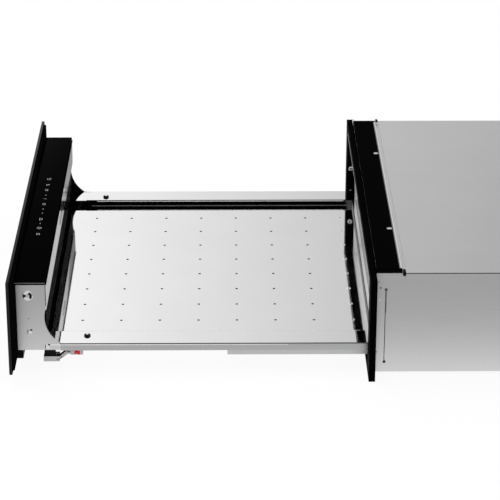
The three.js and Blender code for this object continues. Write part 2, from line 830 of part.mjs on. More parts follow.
function makeFrontPanel() {
  place(drawer, 'front_glass', wideBlock(
    panelHalf, glassBack - glassThickness, glassBack, panelBottom, panelTop,
  ), 'blackGlass');
  place(drawer, 'panel_backing', wideBlock(
    panelHalf - backingInset, backingFront, backingBack, panelBottom + backingInset, panelTop - backingInset,
  ), 'blackPlastic');
  const half = boxHalf - seat;
  const plate = wideBlock(half, plateFront, plateBack, boxBottom - railDrop, boxCeiling);
  const rail = wideBlock(half, plateFront, plateFront + railDepth, boxBottom - railDrop, boxBottom - seat);
  place(drawer, 'panel_bracket', join(plate, rail), 'blackPaint');
}

function makeControlBox() {
  place(drawer, 'control_glass', wideBlock(
    boxHalf, plateFront, boxBack, controlGlassBottom, boxTop,
  ), 'blackGlass');
  const plate = new THREE.Shape();
  plate.moveTo(boxFront, boxBottom);
  plate.lineTo(footBack, boxBottom);
  plate.lineTo(footBack, footTop);
  plate.absarc(biteCentre, biteHeight, biteRadius, biteLowAngle, biteHighAngle, true);
  plate.lineTo(boxBack, boxCeiling);
  plate.lineTo(boxFront, boxCeiling);
  plate.closePath();
  const y = boxFront + adjusterFromFront;
  const z = boxTop - adjusterFromTop;
  const inner = boxHalf - boxSheet;
  const headInner = boxHalf + seat;
  const headOuter = headInner + adjusterHeadHeight;
  for (const { side, sign } of sides) {
    const wall = alongX(plate, sign > 0 ? inner : -boxHalf, sign > 0 ? boxHalf : -inner, 10);
    const hole = sideRod(sign, adjusterShankRadius + seat, inner - over, boxHalf + over, y, z);
    place(drawer, `box_side_${side}`, cut(wall, hole), 'brushedSteel');
    const shank = sideRod(sign, adjusterShankRadius, inner - 6, headInner + over / 2, y, z);
    const head = sideRod(sign, adjusterRadius, headInner, headOuter, y, z, 28);
    const slotReach = adjusterRadius - 1.5;
    const driverSlot = sideBlock(
      sign, headOuter - 0.8, headOuter + over, y - slotReach, y + slotReach, z - 0.7, z + 0.7,
    );
    place(drawer, `front_adjuster_${side}`, cut(join(head, shank), driverSlot), 'polishedSteel');
  }
}

const keyY = (boxFront + boxBack) / 2 - 1;
const keyPlaces = Array.from({ length: keyCount }, (_, key) => (key - (keyCount - 1) / 2) * keyPitch);
const touchBoardTop = boxCeiling - boxSheet - 2 * seat;
const touchBoardBottom = touchBoardTop - boardThickness;

function makeRearStrip() {
  const strip = wideBlock(boxInner, boxBack - boxSheet, boxBack, stripBottom, boxCeiling);
  const shelf = wideBlock(boxInner, boxFront, boxBack, boxCeiling - boxSheet, boxCeiling);
  const foldBack = wideBlock(boxInner, louvreBack - boxSheet, boxBack, stripBottom, stripBottom + boxSheet);
  const keySlot = block(
    keySlotX - keySlotWidth / 2, keySlotX + keySlotWidth / 2,
    boxBack - boxSheet - over, boxBack + over,
    stripBottom + keySlotHeight, stripBottom + 2 * keySlotHeight,
  );
  const keyHoles = keyPlaces.map((x) => (
    rodZ(keyRadius + over, x, keyY, boxCeiling - boxSheet - over, boxCeiling + over, 16)
  ));
  place(drawer, 'box_rear_strip', cut(
    join(strip, shelf, foldBack), keySlot, ...keyHoles,
  ), 'polishedSteel');
}

// the wall above the tray with its louvres, let down into the tray's recess
function makeLouvrePanel() {
  const top = stripBottom - seat;
  const low = trayTop + seat;
  const front = louvreBack - boxSheet;
  const wall = wideBlock(boxInner, front, louvreBack, low, top);
  const apron = wideBlock(recessHalf - seat, front, louvreBack, trayFloor + seat, low + over);
  const louvres = [];
  const slots = [];
  const half = boxInner - louvreMargin;
  const count = Math.floor((top - low - louvreBandHeight) / louvrePitch);
  for (let index = 0; index < count; index += 1) {
    const z = top - louvrePitch / 2 - index * louvrePitch;
    const hood = outline([
      [front, z], [louvreBack + louvreReach, z - louvreDrop + 0.8],
      [louvreBack + louvreReach, z - louvreDrop], [front, z - 1.2],
    ]);
    louvres.push(alongX(hood, -half, half));
    slots.push(wideBlock(half - 2, front - over, louvreBack + over, z - 4.4, z - 1.4));
  }
  place(drawer, 'louvre_panel', join(cut(join(wall, apron), ...slots), ...louvres), 'darkSteel');
}

function makeBoxFloor() {
  const back = louvreBack - boxSheet - seat;
  const plate = wideBlock(boxInner, boxFront, back, boxBottom, boxBottom + boxSheet);
  const serviceHole = rodZ(
    serviceHoleRadius, -2 * boxDepth, (boxFront + back) / 2, boxBottom - over, boxBottom + boxSheet + over, 6,
  );
  place(drawer, 'box_floor', cut(plate, serviceHole), 'darkSteel');
}

function makeElectronics() {
  const touch = wideBlock(touchBoardWidth / 2, boxFront + 5, boxBack - 7, touchBoardBottom, touchBoardTop);
  const keys = keyPlaces.map((x) => rodZ(keyRadius, x, keyY, touchBoardBottom, boxCeiling, 16));
  place(drawer, 'touch_board', join(touch, ...keys), 'circuitBoard');

  const low = boxBottom + boxSheet + seat;
  const left = -boxHalf + powerBoardFromSide;
  const front = boxFront + 6;
  const back = front + boardThickness;
  const board = block(left, left + powerBoardWidth, front, back, low, touchBoardBottom - powerBoardHeadroom);
  const relay = block(left + 90, left + 114, back - over, back + 14, low + 12, low + 30);
  const capacitor = rodY(7, left + 60, back - over, back + 16, low + 42, 20);
  const plug = block(left + 10, left + 38, back - over, back + 10, low + 8, low + 20);
  place(drawer, 'power_board', join(board, relay, capacitor, plug), 'circuitBoard');

  const coreHalf = transformerWidth / 2;
  const core = block(
    transformerX - coreHalf, transformerX + coreHalf, boxFront + 3, boxFront + 27, low, low + transformerHeight,
  );
  const coil = block(
    transformerX - coreHalf + 8, transformerX + coreHalf - 8,
    boxFront + 1, boxFront + 29, low + 7, low + transformerHeight - 7,
  );
  place(drawer, 'transformer', join(core, coil), 'darkSteel');
}

// ---------------------------------------------------------------- tray

function makeTray() {
  const plate = wideBlock(boxHalf, trayFront, trayBack, trayUnderside, trayTop);
  const basin = wideBlock(
    recessHalf + traySheet, trayFront, stepBack + traySheet, trayFloor - traySheet, trayTop,
  );
  const skirtFront = footBack + seat;
  const skirts = sides.map(({ sign }) => sideBlock(
    sign, boxHalf - traySheet, boxHalf, skirtFront, trayBack, trayTop - traySkirt, trayTop,
  ));
  const hollow = wideBlock(recessHalf, trayFront - over, stepBack, trayFloor, trayTop + over);
  const corners = sides.map(({ sign }) => sideBlock(
    sign, boxInner, boxHalf + over, trayFront - over, skirtFront, trayUnderside - over, trayTop + over,
  ));
  const holes = [];
  const lastColumn = stepBack - lastHoleFromStep;
  const rows = 1 + Math.floor((2 * (recessHalf - holeFromSide)) / holeRowPitch);
  const columns = 1 + Math.floor((lastColumn - trayFront - holeFromBox) / holeColumnPitch);
  for (let row = 0; row < rows; row += 1) {
    for (let column = 0; column < columns; column += 1) {
      const x = (row - (rows - 1) / 2) * holeRowPitch;
      const y = lastColumn - column * holeColumnPitch;
      holes.push(rodZ(holeRadius, x, y, trayFloor - traySheet - over, trayFloor + over, 10));
    }
  }
  const screwX = boxHalf - trayScrewFromEdge;
  const screwY = boxBack + trayScrewFromBox;
  const screwHoles = sides.map(({ sign }) => (
    rodZ(trayScrewShank + seat, sign * screwX, screwY, trayUnderside - over, trayTop + over, 16)
  ));
  place(drawer, 'tray', cut(
    join(plate, basin, ...skirts), hollow, ...corners, ...holes, ...screwHoles,
  ), 'polishedSteel');
  for (const { side, sign } of sides) {
    const trayScrew = screw(trayScrewHead, trayScrewHeadHeight, trayScrewShank, traySheet + seat)
      .translate(sign * screwX, screwY, trayTop + seat);
    place(drawer, `tray_screw_${side}`, trayScrew, 'polishedSteel');
  }
}

function makeRearUpstand() {
  const low = trayTop + seat;
  const back = trayBack - 1;
  const foot = wideBlock(recessHalf, stepBack + 5, back, low, low + traySheet);
  const wall = wideBlock(boxHalf - 2, back - traySheet, back, low, low + rearUpstand);
  place(drawer, 'tray_rear_upstand', join(foot, wall), 'polishedSteel');
}

// ---------------------------------------------------------------- locking clips

function makeClips() {
  const clipFront = clipBack - clipLength;
  const clipTop = clipBottom + clipHeight;
  const forkHalf = leverWidth / 2 + leverPlay;
  const root = leverPivotY;
  const armLow = leverPivotZ - leverPinRadius - 0.8;
  const armHigh = leverPivotZ + leverPinRadius + 0.8;
  const barLow = armLow + leverRise;
  const barHigh = barLow + leverBarHeight;
  const linkLow = barLow + leverBarHeight * 0.2;
  const linkHigh = barLow + leverBarHeight * 0.6;
  const armEnd = root + leverArmLength;
  const tabStart = armEnd + leverLinkLength;
  const blockStart = tabStart + leverTabLength;
  const leverEnd = blockStart + leverBlockLength;
  // the arm rises to a thin link, the finger tab and the block under the tray's skirt
  const lever = outline([
    [root - 2.4, armLow], [root + 2.4, armLow], [armEnd, barLow], [armEnd, linkLow],
    [tabStart, linkLow], [tabStart, barLow], [blockStart, barLow], [blockStart, linkLow],
    [blockStart + over, linkLow], [blockStart + over, barLow], [leverEnd, barLow],
    [leverEnd, barHigh + over], [blockStart + over, barHigh + over], [blockStart + over, linkHigh],
    [blockStart, linkHigh], [blockStart, barHigh], [tabStart, barHigh], [tabStart, linkHigh],
    [armEnd, linkHigh], [armEnd, barHigh], [root + 2, armHigh], [root - 2.4, armHigh],
  ]);
  const leverInner = leverMiddle - leverWidth / 2;
  const leverOuter = leverMiddle + leverWidth / 2;
  const postInner = clipInner + clipPostInset;
  const postOuter = boxInner - seat - clipPostInset;
  for (const { side, sign } of sides) {
    const body = sideBlock(sign, clipInner, clipOuter, clipFront, clipBack, clipBottom, clipTop);
    const post = sideBlock(
      sign, postInner, postOuter, clipFront + clipPostInset, root - 3.5, clipTop - over, trayUnderside - seat,
    );
    const fork = sideBlock(
      sign, leverMiddle - forkHalf, leverMiddle + forkHalf,
      root - 3, clipBack + over, clipBottom - over, clipTop + over,
    );
    const pinHole = sideRod(
      sign, leverPinRadius + leverPlay, clipInner - over, clipOuter + over, root, leverPivotZ, 16,
    );
    place(drawer, `slide_clip_${side}`, cut(join(body, post), fork, pinHole), 'greyPlastic');

    const pin = sideRod(
      sign, leverPinRadius, clipInner + leverPlay, clipOuter - leverPlay, root, leverPivotZ, 16,
    );
    const bar = alongX(lever, sign > 0 ? leverInner : -leverOuter, sign > 0 ? leverOuter : -leverInner);
    place(drawer, `release_lever_${side}`, join(bar, pin), 'greyPlastic');
  }
}

// ---------------------------------------------------------------- assembly

makeBasePan();
makeBodySides();
makeTopCover();
makeBackPanel();
makeFrontFrame();
makeTopTrim();
makeLining();
makePartition();
makeFanGuard();
makeMotor();
makeImpeller();
makeHeater();
makeSensors();
makeSupply();
makeLatch();
makeRunners();
makeFrontPanel();
makeControlBox();
makeRearStrip();
makeLouvrePanel();
makeBoxFloor();
makeElectronics();
makeTray();
makeRearUpstand();
makeClips();

export default warmingDrawer;
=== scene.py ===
"""Finishes, fine pieces and a studio for a built-in warming drawer that stands pulled out of its cabinet.

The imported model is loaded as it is. The visible sheet, glass and moulded parts are replaced by copies
with rolled edges or by new surfaces, and every other part gets a finish of its own. Lengths are in metres.
"""

import json
import math
import bmesh
import bpy
import numpy as np
from bpy.props import FloatProperty, FloatVectorProperty, IntProperty, PointerProperty
from bpy.types import Operator, Panel, PropertyGroup
from mathutils import Matrix, Vector


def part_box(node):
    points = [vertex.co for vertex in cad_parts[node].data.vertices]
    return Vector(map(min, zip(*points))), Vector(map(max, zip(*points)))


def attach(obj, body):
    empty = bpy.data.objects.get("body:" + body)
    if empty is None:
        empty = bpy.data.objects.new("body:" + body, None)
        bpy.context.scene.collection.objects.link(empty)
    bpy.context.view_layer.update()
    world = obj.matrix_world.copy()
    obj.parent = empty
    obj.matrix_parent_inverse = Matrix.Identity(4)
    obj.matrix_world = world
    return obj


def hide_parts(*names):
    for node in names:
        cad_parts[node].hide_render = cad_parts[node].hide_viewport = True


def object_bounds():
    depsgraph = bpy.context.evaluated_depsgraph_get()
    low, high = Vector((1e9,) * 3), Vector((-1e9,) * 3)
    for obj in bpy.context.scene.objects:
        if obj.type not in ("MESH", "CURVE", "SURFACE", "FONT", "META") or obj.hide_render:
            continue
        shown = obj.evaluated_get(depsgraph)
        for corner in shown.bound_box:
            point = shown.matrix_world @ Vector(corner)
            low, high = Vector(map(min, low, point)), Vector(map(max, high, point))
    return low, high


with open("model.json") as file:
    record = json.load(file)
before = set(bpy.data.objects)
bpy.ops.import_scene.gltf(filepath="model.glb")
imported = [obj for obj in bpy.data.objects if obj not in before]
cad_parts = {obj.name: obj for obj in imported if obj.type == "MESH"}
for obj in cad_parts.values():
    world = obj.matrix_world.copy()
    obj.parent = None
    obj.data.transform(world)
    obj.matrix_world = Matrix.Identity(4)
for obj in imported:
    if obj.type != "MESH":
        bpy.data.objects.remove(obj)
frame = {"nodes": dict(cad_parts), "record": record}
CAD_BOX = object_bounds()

bl_info = {
    "name": "Warming Drawer",
    "version": (1, 0, 0),
    "blender": (4, 5, 0),
    "location": "View3D > Sidebar > Warming Drawer",
    "description": "Finishes, fine pieces and a studio for a built-in warming drawer",
    "category": "Object",
}

SLOT_OF = {part["node"]: part["material_slot"] for part in frame["record"]["subparts"]}
BODY_OF = {
    node: body
    for body, nodes in frame["record"]["behaviour"]["bodies"].items()
    for node in nodes
}
SIDES = (("left", -1), ("right", 1))
MM = 0.001
DEPTH, HEIGHT = 1, 2  # the axes along which the glass plates are thin
SMOOTH_ANGLE = math.radians(35)  # faces that meet at less are shaded as one surface
RIM_ANGLE = math.radians(50)  # the same for a plate with a rounded rim
SHARP_ANGLE = math.radians(25)  # edges that meet at more are rounded
FLAT_ANGLE = math.radians(0.5)  # faces that meet at less are joined
GRAIN_ALONG = (1, 0.01, 1)  # a grain drawn out along Y
GRAIN_UPRIGHT = (1, 1, 0.01)  # a grain drawn out along Z


# ---------------------------------------------------------------- properties


def length_property(name, description, default):
    """A length in metres that a user may change."""
    return FloatProperty(name=name, description=description, default=default, unit="LENGTH")


def angle_property(name, description, degrees):
    """An angle, given here in degrees, that a user may change."""
    return FloatProperty(name=name, description=description, default=math.radians(degrees), subtype="ANGLE")


def colour_property(name, description, default):
    """A colour that a user may change."""
    return FloatVectorProperty(name=name, description=description, default=default, subtype="COLOR")


def share_property(name, description, default):
    """A share from 0 to 1 that a user may change."""
    return FloatProperty(
        name=name, description=description, default=default, subtype="FACTOR", min=0.0, max=1.0
    )


class DrawerSizes(PropertyGroup):
    """Sizes of the fine detail, in metres."""

    sheet_edge: length_property("Sheet edge", "Rounding of the cut edges of thin sheet", 0.00025)
    bend: length_property("Bend", "Radius of the bends round the tray's recess", 0.0011)
    frame_edge: length_property("Frame edge", "Rounding of the black frame's edges", 0.0009)
    glass_corner: length_property(
        "Glass corner", "Radius of the corners of the front glass, seen square on", 0.0016
    )
    glass_edge: length_property("Glass edge", "Radius of the ground edge of the front glass", 0.0006)
    mark_width: length_property(
        "Mark width", "Width of the lines of the marks printed on the touch control", 0.0007
    )
    mark_row: length_property(
        "Mark row", "Distance of the row of marks from the rear edge of the touch control", 0.0212
    )
    round_steps: IntProperty(
        name="Round steps",
        description="Segments round a large turned piece",
        default=56,
        min=12,
        max=128,
    )


class DrawerFinishes(PropertyGroup):
    """Colours and roughness of the finishes."""

    cabinet: colour_property("Cabinet", "Colour of the cabinet's brushed sides", (0.70, 0.70, 0.705))
    cover: colour_property("Cover", "Colour of the cabinet's brushed cover", (0.90, 0.90, 0.905))
    box: colour_property("Control box", "Colour of the brushed sheet of the control box", (0.68, 0.68, 0.685))
    brushed_roughness: share_property("Brushed roughness", "Roughness of the brushed sheet", 0.36)
    polished: colour_property("Polished sheet", "Colour of the tray's polished sheet", (0.93, 0.93, 0.93))
    polished_roughness: share_property("Polished roughness", "Roughness of the polished sheet", 0.035)
    skirt: colour_property("Skirts", "Colour of the outer faces of the tray's skirts", (0.47, 0.47, 0.475))
    liner: colour_property("Liner", "Colour of the sheet that lines the cavity", (0.80, 0.80, 0.80))
    zinc: colour_property("Zinc", "Colour of the zinc-plated runners and panels", (0.56, 0.565, 0.57))
    paint: colour_property(
        "Black paint", "Colour of the powder coat on the frame and the trim", (0.0012, 0.0012, 0.00125)
    )
    glass: colour_property("Black glass", "Colour of the touch control's glass", (0.0008, 0.0008, 0.00085))
    lever: colour_property("Lever", "Colour of the release levers", (0.46, 0.46, 0.465))
    tab: colour_property("Lever tab", "Colour of the tab on the release levers", (0.60, 0.012, 0.02))
    marks: colour_property("Marks", "Colour of the marks printed on the touch control", (0.42, 0.42, 0.43))


class StudioSettings(PropertyGroup):
    """The camera and the light."""

    camera_place: FloatVectorProperty(
        name="Camera place",
        description="Place of the camera",
        subtype="TRANSLATION",
        default=(2.7715, -0.4581, 1.2491),
    )
    camera_pitch: angle_property("Pitch", "Angle of the view below the horizon", 23.39009)
    camera_yaw: angle_property("Yaw", "Turn of the view from straight along -X", -0.65249)
    camera_roll: angle_property("Roll", "Roll of the camera", 0.12512)
    lens: FloatProperty(
        name="Lens",
        description="Focal length of the camera in millimetres",
        default=156.087,
    )
    soft_light: FloatProperty(
        name="Soft light",
        description="Strength of the light from all round",
        default=0.88,
    )
    overhead: FloatProperty(
        name="Overhead",
        description="Power of the large lamp above the front",
        subtype="POWER",
        default=26.0,
    )
    cavity_light: FloatProperty(
        name="Cavity light",
        description="Power of the lamp that lights the front of the cavity",
        subtype="POWER",
        default=0.30,
    )
    floor: colour_property("Floor", "Colour of the pale floor", (0.9, 0.9, 0.9))


def sizes():
    return bpy.context.scene.warming_drawer_sizes


def finishes():
    return bpy.context.scene.warming_drawer_finishes


def studio():
    return bpy.context.scene.warming_drawer_studio


# ---------------------------------------------------------------- node helpers


def add(tree, kind, inputs=None, **settings):
    """A new node of that kind, with its settings and its inputs, each a value or another node's output."""
    node = tree.nodes.new(kind)
    for key, value in settings.items():
        setattr(node, key, value)
    for key, value in (inputs or {}).items():
        if isinstance(value, bpy.types.NodeSocket):
            tree.links.new(value, node.inputs[key])
        else:
            node.inputs[key].default_value = value
    return node


def finish_base(name, colour, roughness, metallic=0.0, specular=0.5):
    """A material, its node tree, its shader and the object coordinates."""
    material = bpy.data.materials.new(name)
    material.use_nodes = True
    tree = material.node_tree
    shader = tree.nodes["Principled BSDF"]
    shader.inputs["Base Color"].default_value = (*colour, 1.0)
    shader.inputs["Roughness"].default_value = roughness
    shader.inputs["Metallic"].default_value = metallic
    shader.inputs["Specular IOR Level"].default_value = specular
    place = add(tree, "ShaderNodeTexCoord").outputs["Object"]
    return material, tree, shader, place


def noise(tree, place, scale, stretch=(1, 1, 1), detail=3.0):
    """Noise from 0 to 1, with its scale in features to the metre, drawn out by the stretch."""
    mapping = add(
        tree, "ShaderNodeMapping", {"Vector": place, "Scale": tuple(scale * share for share in stretch)}
    )
    texture = add(
        tree, "ShaderNodeTexNoise", {"Vector": mapping.outputs["Vector"], "Scale": 1.0, "Detail": detail}
    )
    return texture.outputs["Fac"]


def cells(tree, place, scale, feature="F1"):
    """A node of round cells, with its scale in cells to the metre."""
    return add(tree, "ShaderNodeTexVoronoi", {"Vector": place, "Scale": scale}, feature=feature)


def cell_tone(tree, place, scale):
    """A tone of its own for each cell, from 0 to 1."""
    colour = cells(tree, place, scale).outputs["Color"]
    return add(tree, "ShaderNodeSeparateColor", {"Color": colour}).outputs[0]


def spread(tree, value, low, high, start=0.3, end=0.7, kind="LINEAR"):
    """The value carried from start..end to low..high."""
    return add(
        tree,
        "ShaderNodeMapRange",
        {"Value": value, "From Min": start, "From Max": end, "To Min": low, "To Max": high},
        interpolation_type=kind,
    ).outputs["Result"]


def combine(tree, first, second, operation="ADD"):
    """The sum of two numbers, or the result of another operation on them."""
    return add(tree, "ShaderNodeMath", {0: first, 1: second}, operation=operation).outputs[0]


def mix(tree, factor, first, second):
    """The first number where the factor is 0 and the second where it is 1."""
    return add(tree, "ShaderNodeMix", {"Factor": factor, 2: first, 3: second}, data_type="FLOAT").outputs[0]


def mix_colour(tree, factor, first, second):
    """The first colour where the factor is 0 and the second where it is 1."""
    return add(tree, "ShaderNodeMix", {"Factor": factor, 6: first, 7: second}, data_type="RGBA").outputs[2]


def tint(tree, colour, factor):
    """The colour times a factor."""
    return add(
        tree, "ShaderNodeVectorMath", {0: tuple(colour), "Scale": factor}, operation="SCALE"
    ).outputs["Vector"]


def link(tree, value, shader, socket):
    tree.links.new(value, shader.inputs[socket])


def bump(tree, shader, height, strength, distance):
    node = add(
        tree, "ShaderNodeBump", {"Height": height, "Strength": strength, "Distance": distance}
    )
    tree.links.new(node.outputs["Normal"], shader.inputs["Normal"])


# ---------------------------------------------------------------- finishes


def brushed_sheet(name, colour, roughness, stretch):
    """Sheet brushed in one direction: hair-fine grain in tone, roughness and relief, under a slow cloud of
    handling."""
    material, tree, shader, place = finish_base(name, colour, roughness, metallic=1.0)
    grain = noise(tree, place, 1400.0, stretch, detail=4.0)
    cloud = noise(tree, place, 9.0, detail=4.0)
    tone = combine(tree, spread(tree, grain, 0.975, 1.025), spread(tree, cloud, 0.985, 1.015), "MULTIPLY")
    dullness = spread(tree, grain, roughness - 0.03, roughness + 0.03)
    link(tree, tint(tree, colour, tone), shader, "Base Color")
    link(tree, combine(tree, dullness, spread(tree, cloud, -0.004, 0.006)), shader, "Roughness")
    bump(tree, shader, grain, strength=0.12, distance=0.00002)
    return material


def polished_sheet(name, colour, roughness):
    """Sheet polished to a mirror: faint polishing hairlines, a film of handling and the slow waves of rolled
    sheet."""
    material, tree, shader, place = finish_base(name, colour, roughness, metallic=1.0)
    hair = noise(tree, place, 2200.0, (0.02, 1, 1), detail=2.0)
    film = noise(tree, place, 14.0, detail=5.0)
    wave = noise(tree, place, 5.0, detail=1.0)
    dullness = spread(tree, film, roughness * 0.7, roughness * 1.5)
    link(tree, tint(tree, colour, spread(tree, film, 0.985, 1.01)), shader, "Base Color")
    link(tree, combine(tree, dullness, spread(tree, hair, 0.0, 0.015)), shader, "Roughness")
    bump(tree, shader, wave, strength=0.02, distance=0.0006)
    return material


def strip_sheet(name, colour, roughness):
    """Polished strip behind the control glass: a fine upright grain, and painted shade that darkens its tone
    and specular tint towards the left end, and more so to the left of a sloping line."""
    material, tree, shader, place = finish_base(name, colour, roughness, metallic=1.0)
    grain = noise(tree, place, 12.0, (75, 75, 1), detail=3.0)
    spot = add(tree, "ShaderNodeSeparateXYZ", {"Vector": place})
    along = spot.outputs["X"]
    lean = -2.354
    shade_line = combine(tree, along, combine(tree, spot.outputs["Z"], lean, "MULTIPLY"))
    # Painted shade: darker towards the left end, and more so to the left of the sloping line.
    painted_shade = combine(
        tree,
        spread(tree, shade_line, 0.40, 1.0, start=-0.346, end=-0.338),
        spread(tree, along, 0.60, 1.0, start=-0.18, end=0.02),
        "MULTIPLY",
    )
    tone = combine(tree, painted_shade, spread(tree, grain, 0.93, 1.05), "MULTIPLY")
    link(tree, tint(tree, colour, tone), shader, "Base Color")
    link(tree, tint(tree, (1.0, 1.0, 1.0), tone), shader, "Specular Tint")
    link(tree, spread(tree, grain, roughness - 0.04, roughness + 0.05), shader, "Roughness")
    bump(tree, shader, grain, strength=0.1, distance=0.00002)
    return material


def liner_sheet(name, colour):
    """Aluminised steel of the cavity: a matt skin with a soft spangle and long rolling marks."""
    material, tree, shader, place = finish_base(name, colour, 0.45, metallic=0.12, specular=0.3)
    spangle = cell_tone(tree, place, 240.0)
    marks = noise(tree, place, 900.0, (1, 0.02, 1), detail=3.0)
    tone = combine(
        tree, spread(tree, spangle, 0.97, 1.02, 0.0, 1.0), spread(tree, marks, 0.97, 1.02), "MULTIPLY"
    )
    link(tree, tint(tree, colour, tone), shader, "Base Color")
    link(tree, spread(tree, spangle, 0.38, 0.52, 0.0, 1.0), shader, "Roughness")
    bump(tree, shader, marks, strength=0.08, distance=0.00003)
    return material


def zinc_sheet(name, colour):
    """Zinc-plated sheet: small crystals of slightly different tone and gloss, dulled by a film."""
    material, tree, shader, place = finish_base(name, colour, 0.38, metallic=1.0)
    crystal = cell_tone(tree, place, 170.0)
    film = noise(tree, place, 30.0, detail=5.0)
    tone = combine(
        tree, spread(tree, crystal, 0.93, 1.06, 0.0, 1.0), spread(tree, film, 0.96, 1.03), "MULTIPLY"
    )
    dullness = combine(tree, spread(tree, crystal, 0.30, 0.44, 0.0, 1.0), spread(tree, film, -0.03, 0.05))
    link(tree, tint(tree, colour, tone), shader, "Base Color")
    link(tree, dullness, shader, "Roughness")
    bump(tree, shader, film, strength=0.08, distance=0.00005)
    return material


def painted_sheet(name, colour, roughness, specular):
    """Powder coat: the fine orange peel of a baked coat, a little glossier on its high spots."""
    material, tree, shader, place = finish_base(name, colour, roughness, specular=specular)
    peel = noise(tree, place, 1100.0, detail=2.0)
    film = noise(tree, place, 22.0, detail=4.0)
    dullness = spread(tree, peel, roughness + 0.05, roughness - 0.05)
    link(tree, tint(tree, colour, spread(tree, film, 0.85, 1.15)), shader, "Base Color")
    link(tree, combine(tree, dullness, spread(tree, film, -0.03, 0.03)), shader, "Roughness")
    bump(tree, shader, peel, strength=0.25, distance=0.00004)
    return material


def black_glass(name, colour, roughness, specular):
    """Back-painted glass: deep black with a smooth skin and a barely visible film of wiping."""
    material, tree, shader, place = finish_base(name, colour, roughness, specular=specular)
    wipe = noise(tree, place, 26.0, (0.35, 1, 1), detail=4.0)
    link(tree, tint(tree, colour, spread(tree, wipe, 0.9, 1.1)), shader, "Base Color")
    link(tree, spread(tree, wipe, roughness * 0.7, roughness * 1.6), shader, "Roughness")
    return material


def ground_glass(name, colour):
    """The ground and seamed edge of the glass: dark grey, satin, with fine lengthwise grinding lines."""
    material, tree, shader, place = finish_base(name, colour, 0.32, specular=0.06)
    lines = noise(tree, place, 3000.0, (0.01, 1, 1), detail=3.0)
    link(tree, tint(tree, colour, spread(tree, lines, 0.8, 1.2)), shader, "Base Color")
    link(tree, spread(tree, lines, 0.26, 0.4), shader, "Roughness")
    bump(tree, shader, lines, strength=0.15, distance=0.00002)
    return material


def moulded_plastic(name, colour, roughness=0.46, specular=0.4):
    """Moulded plastic: a spark-eroded grain with slow sheen changes where the moulding cooled."""
    material, tree, shader, place = finish_base(name, colour, roughness, specular=specular)
    spark = cells(tree, place, 1500.0, "SMOOTH_F1")
    cool = noise(tree, place, 40.0, detail=3.0)
    link(tree, tint(tree, colour, spread(tree, cool, 0.94, 1.05)), shader, "Base Color")
    link(tree, spread(tree, cool, roughness - 0.06, roughness + 0.06), shader, "Roughness")
    bump(tree, shader, spark.outputs["Distance"], strength=0.18, distance=0.00004)
    return material


def lever_plastic(name, grey, red, tab_front, tab_back):
    """Moulded plastic of two colours: red between two places along Y, where the tab is, and grey
    elsewhere."""
    material, tree, shader, place = finish_base(name, grey, 0.4, specular=0.4)
    spot = add(tree, "ShaderNodeSeparateXYZ", {"Vector": place}).outputs["Y"]
    behind = combine(tree, spot, tab_front, "GREATER_THAN")
    before = combine(tree, spot, tab_back, "LESS_THAN")
    inside = combine(tree, behind, before, "MULTIPLY")
    cool = noise(tree, place, 60.0, detail=3.0)
    grain = noise(tree, place, 1800.0, detail=2.0)
    shade = spread(tree, cool, 0.92, 1.06)
    mixed = mix_colour(tree, inside, tint(tree, grey, shade), tint(tree, red, shade))
    link(tree, mixed, shader, "Base Color")
    link(tree, spread(tree, cool, 0.34, 0.46), shader, "Roughness")
    bump(tree, shader, grain, strength=0.12, distance=0.00004)
    return material


def screw_steel(name, colour):
    """Bright plated screw steel with the swirl of its plating."""
    material, tree, shader, place = finish_base(name, colour, 0.2, metallic=1.0)
    swirl = noise(tree, place, 900.0, detail=3.0)
    link(tree, tint(tree, colour, spread(tree, swirl, 0.9, 1.06)), shader, "Base Color")
    link(tree, spread(tree, swirl, 0.14, 0.28), shader, "Roughness")
    bump(tree, shader, swirl, strength=0.1, distance=0.00003)
    return material


def mineral_wool(name, colour):
    """Pressed mineral wool: matted fibres in two directions with darker hollows."""
    material, tree, shader, place = finish_base(name, colour, 0.95, specular=0.1)
    long_fibres = noise(tree, place, 900.0, (1, 0.06, 0.6), detail=5.0)
    cross_fibres = noise(tree, place, 700.0, (0.5, 1, 0.07), detail=5.0)
    mat = combine(tree, long_fibres, cross_fibres, "MULTIPLY")
    link(tree, tint(tree, colour, spread(tree, mat, 0.62, 1.15, 0.15, 0.4)), shader, "Base Color")
    bump(tree, shader, mat, strength=0.9, distance=0.0006)
    return material


def circuit_board(name, colour):
    """Green board: lighter tracks under the lacquer, drawn by the mortar of a brick pattern, with solder
    points."""
    material, tree, shader, place = finish_base(name, colour, 0.35, specular=0.4)
    tracks = add(
        tree,
        "ShaderNodeTexBrick",
        {
            "Vector": place,
            "Color1": (0.008, 0.070, 0.026, 1),
            "Color2": (0.012, 0.092, 0.036, 1),
            "Mortar": (0.030, 0.20, 0.075, 1),
            "Scale": 130.0,
            "Mortar Size": 0.03,
        },
    )
    points = cells(tree, place, 190.0)
    solder = spread(tree, points.outputs["Distance"], 1.0, 0.0, start=0.10, end=0.16)
    tin = (0.55, 0.55, 0.56, 1)
    link(tree, mix_colour(tree, solder, tracks.outputs["Color"], tin), shader, "Base Color")
    link(tree, spread(tree, solder, 0.42, 0.25, 0.0, 1.0), shader, "Roughness")
    bump(tree, shader, tracks.outputs["Fac"], strength=0.2, distance=0.00006)
    return material


def cast_alloy(name, colour):
    """Cast aluminium: pitted skin with a soft grey film."""
    material, tree, shader, place = finish_base(name, colour, 0.5, metallic=0.9)
    pits = cells(tree, place, 900.0)
    film = noise(tree, place, 60.0, detail=5.0)
    link(tree, tint(tree, colour, spread(tree, film, 0.85, 1.08)), shader, "Base Color")
    link(tree, spread(tree, film, 0.42, 0.6), shader, "Roughness")
    bump(tree, shader, pits.outputs["Distance"], strength=0.3, distance=0.0001)
    return material


